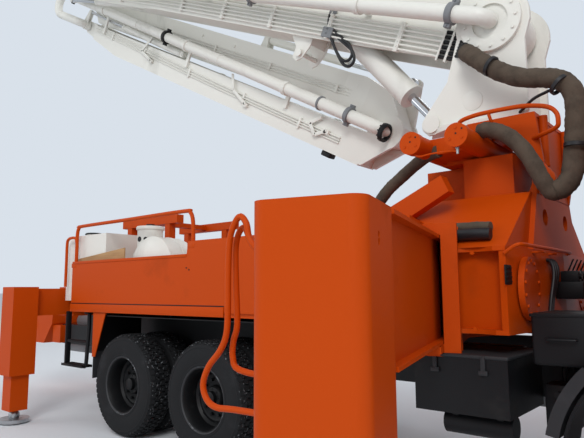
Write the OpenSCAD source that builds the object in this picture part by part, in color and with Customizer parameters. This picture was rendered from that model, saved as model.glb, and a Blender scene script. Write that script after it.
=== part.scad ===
// Truck mounted concrete pump on a three axle carrier: splayed front legs, straight rear legs
// and a four section placing boom that folds back over the deck.
// Lengths are in millimetres. +X is forward, +Y is left, +Z is up, and z = 0 is the ground.
// Carrier places are measured forward from the rearmost axle, then moved by mid_x.

/* [Carrier] */
// Distance from the rearmost axle to the front axle
wheel_base = 5100; // [4800:50:5600]
// Distance between the two driven axles
bogie_pitch = 1300; // [1250:10:1400]
// Front face of the bumper ahead of the front axle
front_overhang = 1400; // [1300:10:1500]
// Outer diameter of a tyre
tyre_d = 1080; // [1040:10:1120]
// Width of a tyre
tyre_w = 290; // [260:5:300]
// Diameter of a wheel rim
rim_d = 600; // [540:10:620]
// Half the width over the outer tyres
wheel_half = 1240; // [1200:5:1260]
// Top of the two frame rails
rail_top = 1060; // [1000:10:1100]
// Height of a frame rail
rail_h = 270; // [220:10:300]

/* [Cab] */
// Length of the cab from its front to its rear wall
cab_len = 1700; // [1600:10:1720]
// Full width of the cab
cab_w = 2380; // [2200:10:2440]
// Floor level of the cab
cab_floor = 1240; // [1220:10:1280]
// Roof level of the cab
cab_roof = 2640; // [2560:10:2650]
// Thickness of the cab's walls and doors
cab_wall = 45; // [30:5:60]

/* [Deck] */
// Rear end of the deck's side panels behind the rearmost axle
deck_tail = 1110; // [1000:10:1200]
// Front end of the deck's side panels
deck_nose = 2850; // [2800:10:2900]
// Half the width over the side panels
deck_half = 1245; // [1200:5:1260]
// Top of the low rear stretch of the side panels
panel_low = 1905; // [1850:5:1960]
// Top of the high front stretch of the side panels
panel_high = 2030; // [1980:5:2080]
// Bottom of the side panels
panel_bottom = 1400; // [1350:5:1420]
// Thickness of the side panels
panel_t = 60; // [40:5:80]

/* [Legs] */
// Angle of the front legs' arms ahead of straight sideways
splay = 17; // [12:1:20]
// Underside and top of a front arm's box
arm_z = [1180, 1920]; // [1000:2000]
// Width of a front arm's box
arm_w = 500; // [440:10:520]
// Reach of a front leg's middle from the truck's middle, along its arm
front_reach = 2956; // [2700:1:3000]
// Side of a front leg's square box
leg_w = 500; // [420:10:520]
// Reach of a rear leg's middle from the truck's middle
rear_reach = 1640; // [1600:10:1800]
// How far the rear legs' beam stands behind the rearmost axle
beam_back = 1680; // [1600:10:1800]

/* [Boom] */
// Length of the first arm between its pivots
arm1_len = 8150; // [8000:10:8200]
// Length of the second arm between its pivots
arm2_len = 7163; // [7000:1:7200]
// Length of the third arm between its pivots
arm3_len = 7150; // [7000:10:7200]
// Length of the fourth arm
arm4_len = 6450; // [6000:10:6500]
// Rise of the first arm above level, as parked
rise_1 = 25; // [20:0.5:30]
// Slope of the second arm below level, as parked
fall_2 = 27.7; // [26:0.1:29]
// Rise of the third and fourth arms above level, as parked
rise_3 = 28.4; // [27:0.1:29]
// Outer diameter of the delivery pipe
pipe_d = 145; // [130:5:150]

/* [Hidden] */
$fn = 48;

orange = [0.86, 0.32, 0.06];
cream = [0.87, 0.86, 0.81];
black = [0.08, 0.08, 0.09];
steel = [0.62, 0.63, 0.64];
grey = [0.45, 0.46, 0.47];
dark_glass = [0.2, 0.25, 0.28];

// Gap of a running fit, and the least gap between other moving pieces
fit = 0.3;
clear = 6;

// Pivots of the boom: foot in the truck's side view, the others in the frame of their own arm
foot = [3810, 3770];
knee_1 = [arm1_len, -250];
knee_2 = [arm2_len, -494];
knee_3 = [arm3_len, -150];
slew_x = 3520;

// Turns a place in an arm's frame into the truck's side view
function ahead(p, a, q) = [p[0] + q[0] * cos(a) + q[1] * sin(a), p[1] - q[0] * sin(a) + q[1] * cos(a)];
function behind(p, a, q) = [p[0] - q[0] * cos(a) + q[1] * sin(a), p[1] + q[0] * sin(a) + q[1] * cos(a)];
pivot_12 = behind(foot, rise_1, knee_1);
pivot_23 = ahead(pivot_12, fall_2, knee_2);
pivot_34 = behind(pivot_23, rise_3, knee_3);

front_x = wheel_base + front_overhang;
pipe_r = pipe_d / 2;
// The third pipe runs past the arm's end and comes back to the last pivot
pipe3_rise = 1.8;
pipe3_over = 800;
pipe3_top = (arm3_len + pipe3_over) * tan(pipe3_rise);
u_bend_r = (pipe3_top - knee_3[1]) / 2;
u_end = behind(pivot_23, rise_3, [arm3_len + pipe3_over, pipe3_top - u_bend_r]);
rear_x = u_end[0] - u_bend_r - pipe_r;
mid_x = (front_x + rear_x) / 2;

axle_z = tyre_d / 2;
rail_half = 440;
rail_w = 80;
rail_out = rail_half + rail_w;
rail_step = 5700;
engine_half = 360;
deck_floor = 1400;

// Widths of the arms, and the bands of width that they lie in
arm1_half = 210;
arm1_tip = 120;
band_in = 330;
band_out = 660;
arm2_in = 430;
nose_in = 376;
nose_out = 614;
arm4_in = 672;
arm4_out = 880;
cheek_t = 40;

// Pin of the lift cylinder on the turret, and its pin in the first arm's frame
low_pin = [3240, 3000];
lift_pin = [1900, -130];
lift_top = behind(foot, rise_1, lift_pin);
lift_vec = low_pin - lift_top;
lift_len = norm(lift_vec);
lift_fall = -atan2(lift_vec[1], lift_vec[0]);

module truck() translate([-mid_x, 0, 0]) children();
// A box from its low corner to its high corner
module block(a, b) translate(a) cube([b[0] - a[0], b[1] - a[1], b[2] - a[2]]);
// A side view outline made as thick as from y0 to y1
module slab(y0, y1) translate([0, y1, 0]) rotate([90, 0, 0]) linear_extrude(y1 - y0) children();
// A front view outline (y, z) made as thick as from x0 to x1
module rib(x0, x1) translate([x0, 0, 0]) rotate([90, 0, 90]) linear_extrude(x1 - x0) children();
// A plan view outline made as thick as from z0 to z1
module plate(z0, z1) translate([0, 0, z0]) linear_extrude(z1 - z0) children();
// A round bar across the truck
module cross_bar(p, r, y0, y1) translate([p[0], y0, p[1]]) rotate([-90, 0, 0]) cylinder(r = r, h = y1 - y0);
// A round bar along the truck
module long_bar(x0, x1, y, z, r) translate([x0, y, z]) rotate([0, 90, 0]) cylinder(r = r, h = x1 - x0);
// A round bar between two places of the truck's side view
module side_bar(p, q, y, r) translate([p[0], y, p[1]]) rotate([0, 90 - atan2(q[1] - p[1], q[0] - p[0]), 0])
    cylinder(r = r, h = norm(q - p));
// Copies a right hand piece to the left
module mirrored() {
    children();
    mirror([0, 1, 0]) children();
}
module left_of_right() mirror([0, 1, 0]) children();
// Frames of arms that point back and up, and ahead and down
module back_arm(p, a) translate([p[0], 0, p[1]]) rotate([0, a, 0]) mirror([1, 0, 0]) children();
module fore_arm(p, a) translate([p[0], 0, p[1]]) rotate([0, a, 0]) children();
// Frame of a right front leg's arm: x runs out along the arm
module arm_frame() translate([slew_x - 450, 0, 0]) rotate([0, 0, -90 + splay]) children();
// Part of a bent pipe in the plan of an arm's frame, from angle a over turn degrees
module elbow(c, r, a, turn) translate([c[0], c[1], c[2]]) rotate([0, 0, a])
    rotate_extrude(angle = turn) translate([r, 0]) circle(r = pipe_r);
// A plate with two round ends, as used for levers
module lever(p, r0, q, r1) {
    translate(p) circle(r = r0);
    translate(q) circle(r = r1);
    turn = atan2(q[1] - p[1], q[0] - p[0]);
    length = norm(q - p);
    // Its sides start just inside the round ends, which leaves no slivers
    translate(p) rotate(turn) polygon([[0, -0.95 * r0], [length, -0.95 * r1], [length, 0.95 * r1],
        [0, 0.95 * r0]]);
}

module chassis_frame() truck() color(black) {
    mirrored() {
        block([-2650, -rail_out, rail_top - rail_h], [rail_step, -rail_half, rail_top]);
        block([rail_step - 1, -rail_out, rail_top - rail_h], [wheel_base + 1100, -rail_half, 1010]);
        for (x = [wheel_base - 200, wheel_base + 450])
            block([x, -rail_half - 1, 860], [x + 100, -engine_half - fit, 960]);
        block([-1450, -rail_out, rail_top], [2700, -rail_half, deck_floor - 60]);
        block([-beam_back - 190, -rail_out, rail_top], [-beam_back + 190, -rail_half, 1230]);
        block([2900, -rail_out, rail_top], [4000, -rail_half, 1130]);
        block([wheel_base - 420, -rail_out, rail_top], [wheel_base - 320, -rail_half, cab_floor]);
    }
    for (x = [-2600, -1300, 650, 2300, 3900, wheel_base - 500, wheel_base + 1000])
        block([x, -rail_half, rail_top - rail_h + 10], [x + 90, rail_half, rail_top - 90]);
}

module engine() truck() color(grey)
    block([wheel_base - 380, -engine_half, 700], [wheel_base + 700, engine_half, 1200]);

module tyre(y0) color(black) translate([0, y0, 0]) rotate([-90, 0, 0]) rotate_extrude($fn = 64)
    polygon([[rim_d / 2 - 6, 20], [rim_d / 2 - 6, tyre_w - 20], [rim_d / 2 + 60, tyre_w - 4],
        [tyre_d / 2 - 60, tyre_w], [tyre_d / 2, tyre_w - 45], [tyre_d / 2, 45],
        [tyre_d / 2 - 60, 0], [rim_d / 2 + 60, 4]]);

// dish: how far in from the outer face the wheel's flat disc lies
module rim(y0, dish) color(grey) translate([0, y0, 0]) rotate([-90, 0, 0]) rotate_extrude($fn = 64)
    polygon([[90, dish], [rim_d / 2 - 60, dish], [rim_d / 2 - 35, dish - 25], [rim_d / 2 - 35, 40],
        [rim_d / 2 - 10, 14], [rim_d / 2 - 6, 14], [rim_d / 2 - 6, tyre_w - 14],
        [rim_d / 2 - 16, tyre_w - 14], [rim_d / 2 - 35, tyre_w - 40], [rim_d / 2 - 35, dish + 40],
        [rim_d / 2 - 60, dish + 14], [90, dish + 14]]);

hub_bore = 52;
module wheel_body(x, dual) truck() translate([x, -wheel_half, axle_z]) {
    tyre(0);
    rim(0, dual ? 190 : 70);
    if (dual) {
        tyre(tyre_w + 60);
        rim(tyre_w + 60, 60);
    }
    color(grey) rotate([-90, 0, 0]) difference() {
        cylinder(r = 100, h = dual ? 520 : 240);
        translate([0, 0, dual ? 150 : 60]) cylinder(r = hub_bore + fit, h = 600);
    }
}
module wheel_front_right() wheel_body(wheel_base, false);
module wheel_front_left() left_of_right() wheel_body(wheel_base, false);
module wheel_mid_right() wheel_body(bogie_pitch, true);
module wheel_mid_left() left_of_right() wheel_body(bogie_pitch, true);
module wheel_rear_right() wheel_body(0, true);
module wheel_rear_left() left_of_right() wheel_body(0, true);

king_y = 850;
king_r = 45;
module front_axle() truck() color(grey) {
    difference() {
        union() {
            block([wheel_base - 60, -king_y + 50, 445], [wheel_base + 60, king_y - 50, 555]);
            mirrored() translate([wheel_base, -king_y, 450]) cylinder(r = 68, h = 100);
        }
        mirrored() translate([wheel_base, -king_y, 440]) cylinder(r = king_r + fit, h = 120);
    }
    mirrored() {
        block([wheel_base - 480, -rail_out, 640], [wheel_base + 480, -rail_half, 700]);
        block([wheel_base - 70, -rail_out, 554], [wheel_base + 70, -rail_half, 640]);
        for (x = [-480, 420])
            block([wheel_base + x, -rail_out, 700], [wheel_base + x + 60, -rail_half, rail_top - rail_h]);
    }
}

module knuckle() truck() color(grey) {
    translate([wheel_base, -king_y, 370]) cylinder(r = king_r, h = 320);
    for (z = [370, 560])
        translate([wheel_base, -king_y, z]) cylinder(r = 80, h = 60);
    block([wheel_base - 60, -king_y - 125, 370], [wheel_base + 60, -king_y - 75, 620]);
    cross_bar([wheel_base, axle_z], hub_bore, -wheel_half + 70, -king_y - 100);
    block([wheel_base - 300, -king_y - 20, 630], [wheel_base, -king_y + 20, 660]);
}
module knuckle_right() knuckle();
module knuckle_left() left_of_right() knuckle();

module rear_axles() truck() color(grey) for (x = [0, bogie_pitch]) {
    cross_bar([x, axle_z], hub_bore, -wheel_half + 160, wheel_half - 160);
    cross_bar([x, axle_z], 85, -wheel_half + 530, wheel_half - 530);
    translate([x, 0, axle_z]) sphere(r = 210);
    mirrored() {
        block([x - 90, -rail_out, 600], [x + 90, -rail_half, 700]);
        block([x - 480, -rail_out, 700], [x + 480, -rail_half, 750]);
        block([x - 60, -rail_out, 750], [x + 60, -rail_half, rail_top - rail_h]);
    }
}

// Arched guards: inner radius over the twin and over the steered wheels, and sheet thickness
guard_r = 630;
steer_guard_r = 690;
guard_t = 20;
module mudguards() truck() color(black) mirrored() {
    slab(-wheel_half, -580) difference() {
        union() {
            for (x = [0, bogie_pitch])
                translate([x, axle_z]) circle(r = guard_r + guard_t);
            translate([0, axle_z]) square([bogie_pitch, guard_r + guard_t]);
        }
        for (x = [0, bogie_pitch])
            translate([x, axle_z]) circle(r = guard_r);
        translate([0, axle_z]) square([bogie_pitch, guard_r]);
        translate([-1000, -200]) square([4000, 1100]);
    }
    // Flap behind the rearmost wheels
    block([-576, -wheel_half, 880], [-530, -600, 905]);
    block([-576, -wheel_half, 600], [-561, -600, 905]);
    // The front guard is flat on top, under the cab's floor
    slab(-wheel_half, -880) difference() {
        intersection() {
            translate([wheel_base, axle_z]) circle(r = steer_guard_r + guard_t);
            translate([wheel_base - 800, 0]) square([1600, cab_floor - 15]);
        }
        intersection() {
            translate([wheel_base, axle_z]) circle(r = steer_guard_r);
            translate([wheel_base - 800, 0]) square([1600, cab_floor - 15 - guard_t]);
        }
        translate([wheel_base - 800, -200]) square([1600, 800]);
    }
    for (e = [[-300, 1085], [630, 1150], [1560, 1085]])
        block([e[0], -620, e[1]], [e[0] + 40, -rail_out - fit, e[1] + 38]);
    for (x = [wheel_base - 600, wheel_base + 560])
        block([x, -900, 912], [x + 40, -rail_out - fit, 950]);
}

// Corners of the cab's side view, and the same drawn in by the wall
cab_front = front_x - 60;
cab_rear = cab_front - cab_len;
function cab_outline(t) = [[cab_rear + t, cab_floor + t], [cab_front - 660 - t / 2, cab_floor + t],
    [cab_front - 580 - t / 2, 1020 + t], [cab_front - t, 1020 + t], [cab_front + 15 - t, 1620],
    [cab_front - 130 - t, 2480], [cab_front - 270 - t / 2, cab_roof - t], [cab_rear + t, cab_roof - t]];
// The windscreen's two edges in the side view
screen_low = [cab_front + 6, 1680];
screen_high = [cab_front - 118, 2410];

function door_outline(g) = [[wheel_base - 130 - g, 1290 - g], [wheel_base + 560, 1290 - g],
    [wheel_base + 690 + g, 1420 - g], [wheel_base + 1120 + g, 1420 - g], [wheel_base + 1120 + g, 1800],
    [wheel_base + 980 + g, 2540 + g], [wheel_base - 130 - g, 2540 + g]];
door_window = [[wheel_base - 50, 1820], [wheel_base + 1040, 1820], [wheel_base + 930, 2460],
    [wheel_base - 50, 2460]];

// Door hinge: its pin's place and radius, the length of a knuckle and the heights of the two
hinge_x = wheel_base + 1126;
hinge_y = cab_w / 2 + 16;
hinge_r = 6;
hinge_len = 50;
hinge_z = [1490, 1700];

module cab_shell() truck() color(orange) {
    mirrored() for (z = hinge_z) {
        translate([hinge_x, -hinge_y, z - 20]) cylinder(r = hinge_r, h = hinge_len + 40, $fn = 24);
        for (low = [z - 20, z + hinge_len + clear]) {
            translate([hinge_x, -hinge_y, low]) cylinder(r = 10, h = 14, $fn = 24);
            block([hinge_x, -hinge_y - 8, low], [hinge_x + 60, -cab_w / 2 + 1, low + 14]);
        }
    }
    difference() {
        slab(-cab_w / 2, cab_w / 2) polygon(cab_outline(0));
        slab(-cab_w / 2 + cab_wall, cab_w / 2 - cab_wall) polygon(cab_outline(cab_wall));
        mirrored() slab(-cab_w / 2 - 10, -cab_w / 2 + cab_wall + 1) polygon(door_outline(clear));
        slab(-1020, 1020) polygon([screen_low + [60, 0], screen_high + [60, 0],
            screen_high - [100, 0], screen_low - [100, 0]]);
        block([cab_rear - 10, -760, 1850], [cab_rear + cab_wall + 10, 760, 2400]);
        block([cab_rear - 10, -380, cab_floor - 10], [cab_front - 900, 380, cab_floor + cab_wall + 10]);
    }
    // Engine tunnel
    difference() {
        block([cab_rear + 1, -420, cab_floor], [cab_front - 860, 420, cab_floor + 200]);
        block([cab_rear, -380, cab_floor - 1], [cab_front - 900, 380, cab_floor + 160]);
    }
}
module cab_glass() truck() color(dark_glass) {
    slab(-1020 + fit, 1020 - fit) polygon([screen_low + [-14, fit], screen_high + [-14, -fit],
        screen_high + [-22, -fit], screen_low + [-22, fit]]);
    block([cab_rear + 18, -760 + fit, 1850 + fit], [cab_rear + 26, 760 - fit, 2400 - fit]);
}
module cab_interior() truck() color(black) {
    mirrored() {
        block([cab_rear + 160, -880, cab_floor + cab_wall], [cab_rear + 640, -470, 1560]);
        block([cab_rear + 140, -880, 1560], [cab_rear + 260, -470, 2200]);
    }
    slab(-1040, 1040) polygon([[cab_front - 420, 1500], [cab_front - 50, 1500],
        [cab_front - 50, 1650], [cab_front - 380, 1690]]);
    mirrored() block([cab_front - 300, -900, 1020 + cab_wall], [cab_front - 180, -840, 1501]);
    translate([cab_front - 450, 675, 1750]) rotate([0, -60, 0]) {
        rotate_extrude() translate([220, 0]) circle(r = 14, $fn = 16);
        cylinder(r = 40, h = 20, center = true);
        for (a = [0, 120, 240])
            rotate([0, 0, a]) block([0, -12, -6], [220, 12, 6]);
        rotate([180, 0, 0]) cylinder(r = 24, h = 150);
    }
}
module door() truck() {
    color(orange) difference() {
        slab(-cab_w / 2, -cab_w / 2 + cab_wall) polygon(door_outline(0));
        slab(-cab_w / 2 - 10, -cab_w / 2 + cab_wall + 10) polygon(door_window);
    }
    color(dark_glass) slab(-cab_w / 2 + 20, -cab_w / 2 + 28) polygon(door_window);
    color(black) block([wheel_base - 60, -cab_w / 2 - 22, 1690], [wheel_base + 90, -cab_w / 2, 1720]);
    color(orange) for (z = hinge_z) {
        difference() {
            translate([hinge_x, -hinge_y, z]) cylinder(r = 12, h = hinge_len, $fn = 24);
            translate([hinge_x, -hinge_y, z - 1]) cylinder(r = hinge_r + fit, h = hinge_len + 2, $fn = 24);
        }
        block([hinge_x - 70, -hinge_y - 5, z], [hinge_x - 8, -cab_w / 2 + 1, z + hinge_len]);
    }
}
module door_right() door();
module door_left() left_of_right() door();

lamp_y = [-950, -730, 730, 950];
module bumper() truck() color(orange) difference() {
    union() {
        block([front_x - 160, -cab_w / 2, 560], [front_x, cab_w / 2, 1000]);
        mirrored() block([wheel_base + 1000, -rail_out - 60, 800], [front_x - 159, -rail_out - fit, 940]);
    }
    for (y = lamp_y)
        translate([front_x - 60, y, 790]) rotate([0, 90, 0]) cylinder(r = 85, h = 80);
    block([front_x - 40, -420, 640], [front_x + 10, 420, 900]);
}

module battery_box() truck() color(black) {
    block([3480, -1200, 740], [4120, -rail_out - fit, 1100]);
    long_bar(3640, 4100, -1040, 660, 78);
    block([3700, -1100, 700], [3740, -980, 741]);
    block([4000, -1100, 700], [4040, -980, 741]);
}
module fuel_tank() truck() color(grey) {
    block([3250, rail_out + fit, 520], [4250, 1180, 1020]);
    for (x = [3400, 4050])
        block([x, rail_out + fit, 505], [x + 50, 1190, 1035]);
}

// Outer and inner side of the tail tank, right of the middle
tank_y = [1150, 690];
module deck() truck() color(orange) {
    block([-deck_tail, -deck_half + panel_t - 1, deck_floor - 60], [2700, deck_half - panel_t + 1, deck_floor]);
    mirrored() {
        slab(-deck_half, -deck_half + panel_t) polygon([[-deck_tail, panel_bottom - 60],
            [deck_nose, panel_bottom - 60], [deck_nose, panel_high], [1080, panel_high],
            [1060, panel_low], [-deck_tail, panel_low]]);
        // The lower rail under the panel, and its outriggers to the frame
        block([-deck_tail, -deck_half + 20, 1300], [2700, -deck_half + 100, panel_bottom - 59]);
    }
    block([-deck_tail, -tank_y[1] + fit, deck_floor], [-deck_tail + 50, deck_half - panel_t + 1, panel_low]);
}

rail_r = 19;
module hoop(x0, x1, z, r) {
    long_bar(x0 + r, x1 - r, -deck_half + 30, z, rail_r);
    for (e = [[x0 + r, 180], [x1 - r, 90]])
        translate([e[0], -deck_half + 30, z - r]) rotate([90, 0, 0]) rotate([0, 0, e[1] - 90])
            rotate_extrude(angle = 90) translate([r, 0]) circle(r = rail_r, $fn = 24);
    for (x = [x0, x1])
        translate([x, -deck_half + 30, panel_low + fit]) cylinder(r = rail_r, h = z - r - panel_low - fit);
}
module railings() truck() color(orange) mirrored() {
    hoop(-1080, 1020, 2330, 90);
    for (x = [-380, 320])
        translate([x, -deck_half + 30, panel_low + fit]) cylinder(r = rail_r, h = 2330 - panel_low);
    long_bar(-1080, 1020, -deck_half + 30, 2120, 14);
}

ladder_top = 1300 - fit;
module ladder() truck() color(black) translate([0, -1180, 0]) {
    for (x = [-1290, -850])
        block([x, 0, 480], [x + 40, 60, ladder_top]);
    for (z = [500, 760, 1020])
        block([-1290, -40, z], [-810, 100, z + 30]);
    block([-1290, 0, ladder_top - 40], [-810, 100, ladder_top]);
}

// Two posts with cross heads that the folded boom rests on: middle of each pair, across the truck
rest_y = [-565, 365];
module boom_rest() truck() color(orange) {
    for (y = rest_y) {
        for (x = [-870, -90])
            block([x - 45, y - 45, deck_floor], [x + 45, y + 45, 2351]);
        block([-1020, y - 50, 2350], [100, y + 50, 2450]);
    }
    block([-525, rest_y[0] + 49, 2370], [-435, rest_y[1] - 49, 2430]);
}
module water_drum() truck() color(cream) {
    long_bar(-440, 610, -880, 1880, 265);
    for (e = [[-460, 1], [610, 1]])
        long_bar(e[0], e[0] + 20, -880, 1880, 235);
    translate([300, -880, 2120]) cylinder(r = 70, h = 60);
    for (x = [-300, 400])
        block([x, -1060, deck_floor + fit], [x + 60, -700, 1700]);
}
module tail_tank() truck() color(cream) {
    block([-1425, -tank_y[0], 1430], [-540, -tank_y[1], 2230]);
    block([-1055, -tank_y[0] + 30, deck_floor + fit], [-560, -tank_y[1] - 30, 1431]);
    translate([-1200, -920, 2229]) cylinder(r = 90, h = 40);
}

sleeve_half = arm_w / 2 + 45;
sleeve_end = 1330;
// Box round the turret's foot, with arches that the hoses pass through
tower_top = 2893;
tower_half = 430;
module tower() {
    mirrored() {
        slab(-tower_half, -tower_half + 35) difference() {
            polygon([[3620, 2800], [3620, tower_top], [4150, tower_top], [4195, 2500], [4150, 2260], [3700, 2260]]);
            translate([3740, 2440]) circle(r = 375);
        }
        // Lug and pipe on the front wall
        rib(4130, 4165) translate([-350, 2430]) circle(r = 80);
        translate([4175, -300, 2480]) cylinder(r = 32, h = 400);
    }
    rib(4105, 4145) polygon([[-tower_half, 2260], [tower_half, 2260], [tower_half, tower_top],
        [-tower_half, tower_top]]);
    difference() {
        block([3620, -tower_half, tower_top - 30], [4150, tower_half, tower_top]);
        translate([slew_x, 0, tower_top - 40]) cylinder(r = 170, h = 60);
    }
}
module pedestal() truck() color(orange) {
    difference() {
        union() {
            mirrored() arm_frame() {
                block([0, -sleeve_half, 1130], [sleeve_end, sleeve_half, 1970]);
                block([sleeve_end - 40, -sleeve_half - 70, 1100], [sleeve_end, sleeve_half + 70, 2000]);
                block([sleeve_end - 210, -sleeve_half - 60, 1110], [sleeve_end - 180, sleeve_half + 60, 1990]);
                block([sleeve_end - 1, -sleeve_half + 40, 1130], [sleeve_end + 150, sleeve_half - 40, 1175]);
                block([sleeve_end - 240, -110, 1930], [sleeve_end + 300, 110, 2030]);
            }
            plate(1250, 1830) polygon([[2800, 0], [2900, -300], [3250, -900], [3560, -1000], [4060, -1000],
                [4060, -1090], [4104, -1094], [4180, 0], [4104, 1094], [4060, 1090], [4060, 1000],
                [3560, 1000], [3250, 900], [2900, 300]]);
            mirrored() for (z = [1250, 1800])
                plate(z, z + 30) difference() {
                    polygon([[3300, -900], [3640, -1130], [4104, -1094], [4104, -900]]);
                    translate([3880, -1330]) circle(r = 270);
                }
            // Upper body that carries the slewing gear
            rib(3000, 4104) polygon([[-1080, 1829], [1080, 1829], [480, 2270], [-480, 2270]]);
            block([3560, -400, 2269], [3960, 400, 2600]);
            block([3100, -120, 2269], [3561, 120, 2600]);
            rib(4100, 4140) polygon([[-620, 1830], [620, 1830], [430, 2330], [-430, 2330]]);
            tower();
            // Slanted box beams from the shoulders to the tower
            mirrored() slab(-800, -690) polygon([[2900, 2000], [3030, 2000], [3600, 2290], [3540, 2420],
                [2900, 2130]]);
        }
        mirrored() {
            arm_frame() block([40, -arm_w / 2 - clear, arm_z[0] - fit], [sleeve_end + 160,
                arm_w / 2 + clear, arm_z[1] + fit]);
            translate([4050, -280, 2090]) rotate([0, 90, 0]) cylinder(r = 65, h = 200);
            translate([3980, -1110, 1640]) rotate([-90, 0, 0]) block([-50, -50, 0], [50, 50, 60]);
        }
    }
    // Round covers with bolts on the front wall
    mirrored() translate([4118, -750, 1550]) rotate([0, 90, 4]) {
        cylinder(r = 220, h = 40);
        for (a = [0:360 / 14:359])
            rotate([0, 0, a]) translate([190, 0, 39]) cylinder(r = 12, h = 12, $fn = 12);
    }
}

rack_x = [slew_x - 190, slew_x + 190];
rack_z = 2695;
pinion_r = 140;
module slew_cylinders() truck() color(orange) {
    difference() {
        union() {
            for (x = rack_x)
                cross_bar([x, rack_z], 85, -860, 860);
            block([rack_x[0], -300, 2600 + fit], [rack_x[1], 300, 2785]);
            block([rack_x[0], -640, 2630], [rack_x[1], 640, 2760]);
        }
        translate([slew_x, 0, 2590]) cylinder(r = pinion_r + 2 * fit, h = 220);
    }
    mirrored() for (x = rack_x) {
        cross_bar([x, rack_z], 92, -880, -800);
        for (a = [90, 210, 330])
            cross_bar([x + 55 * cos(a), rack_z + 55 * sin(a)], 9, -886, -879);
    }
}

// Hopper, its lid and what turns and pumps in it
hop_in = [[-3860, 1500], [-2720, 1500], [-2760, 1080], [-2980, 800], [-3560, 800], [-3860, 1120]];
hop_out = [[-3880, 1500], [-2700, 1500], [-2740, 1070], [-2970, 780], [-3570, 780], [-3880, 1112]];
lid_pin = [-2690, 1535];
module hopper() truck() color(orange) {
    difference() {
        slab(-640, 640) polygon(hop_out);
        slab(-620, 620) polygon([for (p = hop_in) p[1] == 1500 ? [p[0], 1510] : p]);
        cross_bar([-3290, 1020], 40 + fit, -700, 700);
    }
    difference() {
        block([-3960, -720, 1470], [-2640, 720, 1510]);
        block([-3860, -620, 1460], [-2720, 620, 1520]);
    }
    mirrored() {
        block([-2760, -rail_out - 80, 800], [-2560, -rail_out - fit, 1050]);
        block([-2780, -rail_out - 80, 800], [-2720, -400, 1050]);
        for (x = [-2640, -3960])
            block([x, -720, 1480], [x + 40, -680, 1560]);
        difference() {
            block([lid_pin[0] - 28, -640, 1505], [lid_pin[0] + 28, -610, 1565]);
            cross_bar(lid_pin, 14 + fit, -650, -600);
        }
    }
}
module grate() truck() color(orange) {
    for (i = [-6:6])
        block([-3850, i * 96 - 6, 1520], [-2730, i * 96 + 6, 1560]);
    for (x = [-3850, -3296, -2742])
        block([x, -600, 1514], [x + 12, 600, 1545]);
    cross_bar(lid_pin, 14, -645, 645);
    for (y = [-500, 0, 500])
        block([-2736, y - 20, 1525], [lid_pin[0], y + 20, 1545]);
}
module agitator() truck() color(grey) {
    cross_bar([-3290, 1020], 40, -680, 680);
    for (e = [[-480, 0], [-200, 90], [120, 180], [400, 270]])
        translate([-3290, e[0], 1020]) rotate([0, e[1], 0]) {
            block([-20, 0, 30], [20, 16, 190]);
            block([-70, 0, 150], [70, 16, 200]);
        }
}
module pump_unit() truck() color(grey) {
    for (y = [-150, 150]) {
        long_bar(-2727.2, -1100, y, 1100, 105);
        long_bar(-1099, -800, y, 1100, 120);
        long_bar(-801, 500, y, 1100, 70);
    }
    for (x = [-1110, -800])
        block([x, -300, 980], [x + 30, 300, 1215]);
    // Outlet bend under the hopper
    long_bar(-3290, -2690, 0, 780 - 95 - fit, 95);
}

beam_end = 1000;
rear_arm_z = [1250, 1580];
module rear_leg_beam() truck() color(orange) difference() {
    block([-beam_back - 190, -beam_end, 1230], [-beam_back + 190, beam_end, 1600]);
    for (x = [-beam_back - 172, -beam_back + 8])
        block([x, -beam_end - 10, rear_arm_z[0] - fit], [x + 164, beam_end + 10, rear_arm_z[1] + fit]);
}
// side: 1 for the channel ahead, -1 for the one behind
function rear_leg_x(side) = -beam_back + side * 90;
rear_leg_half = 150;
rear_jack_half = 105;
module rear_leg(side) truck() color(orange) {
    x = rear_leg_x(side);
    block([x - 78, -rear_reach + rear_leg_half - 1, rear_arm_z[0]], [x + 78, 500, rear_arm_z[1]]);
    difference() {
        block([x - rear_leg_half, -rear_reach - rear_leg_half, 560],
            [x + rear_leg_half, -rear_reach + rear_leg_half, 1600]);
        block([x - rear_jack_half - fit, -rear_reach - rear_jack_half - fit, 550],
            [x + rear_jack_half + fit, -rear_reach + rear_jack_half + fit, 1580]);
    }
    block([x - rear_leg_half - 12, -rear_reach - rear_leg_half - 12, 560],
        [x - rear_leg_half + 1, -rear_reach + rear_leg_half + 12, 640]);
}
module rear_leg_right() rear_leg(1);
module rear_leg_left() left_of_right() rear_leg(-1);
module rear_jack(side) truck() translate([rear_leg_x(side), -rear_reach, 0]) {
    color(orange) block([-rear_jack_half, -rear_jack_half, 150], [rear_jack_half, rear_jack_half, 1100]);
    color(grey) {
        translate([0, 0, 90]) sphere(r = 62);
        translate([0, 0, 15]) cylinder(r = 170, h = 40);
    }
}
module rear_jack_right() rear_jack(1);
module rear_jack_left() left_of_right() rear_jack(-1);

leg_r = 70;
front_jack_half = 180;
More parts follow.
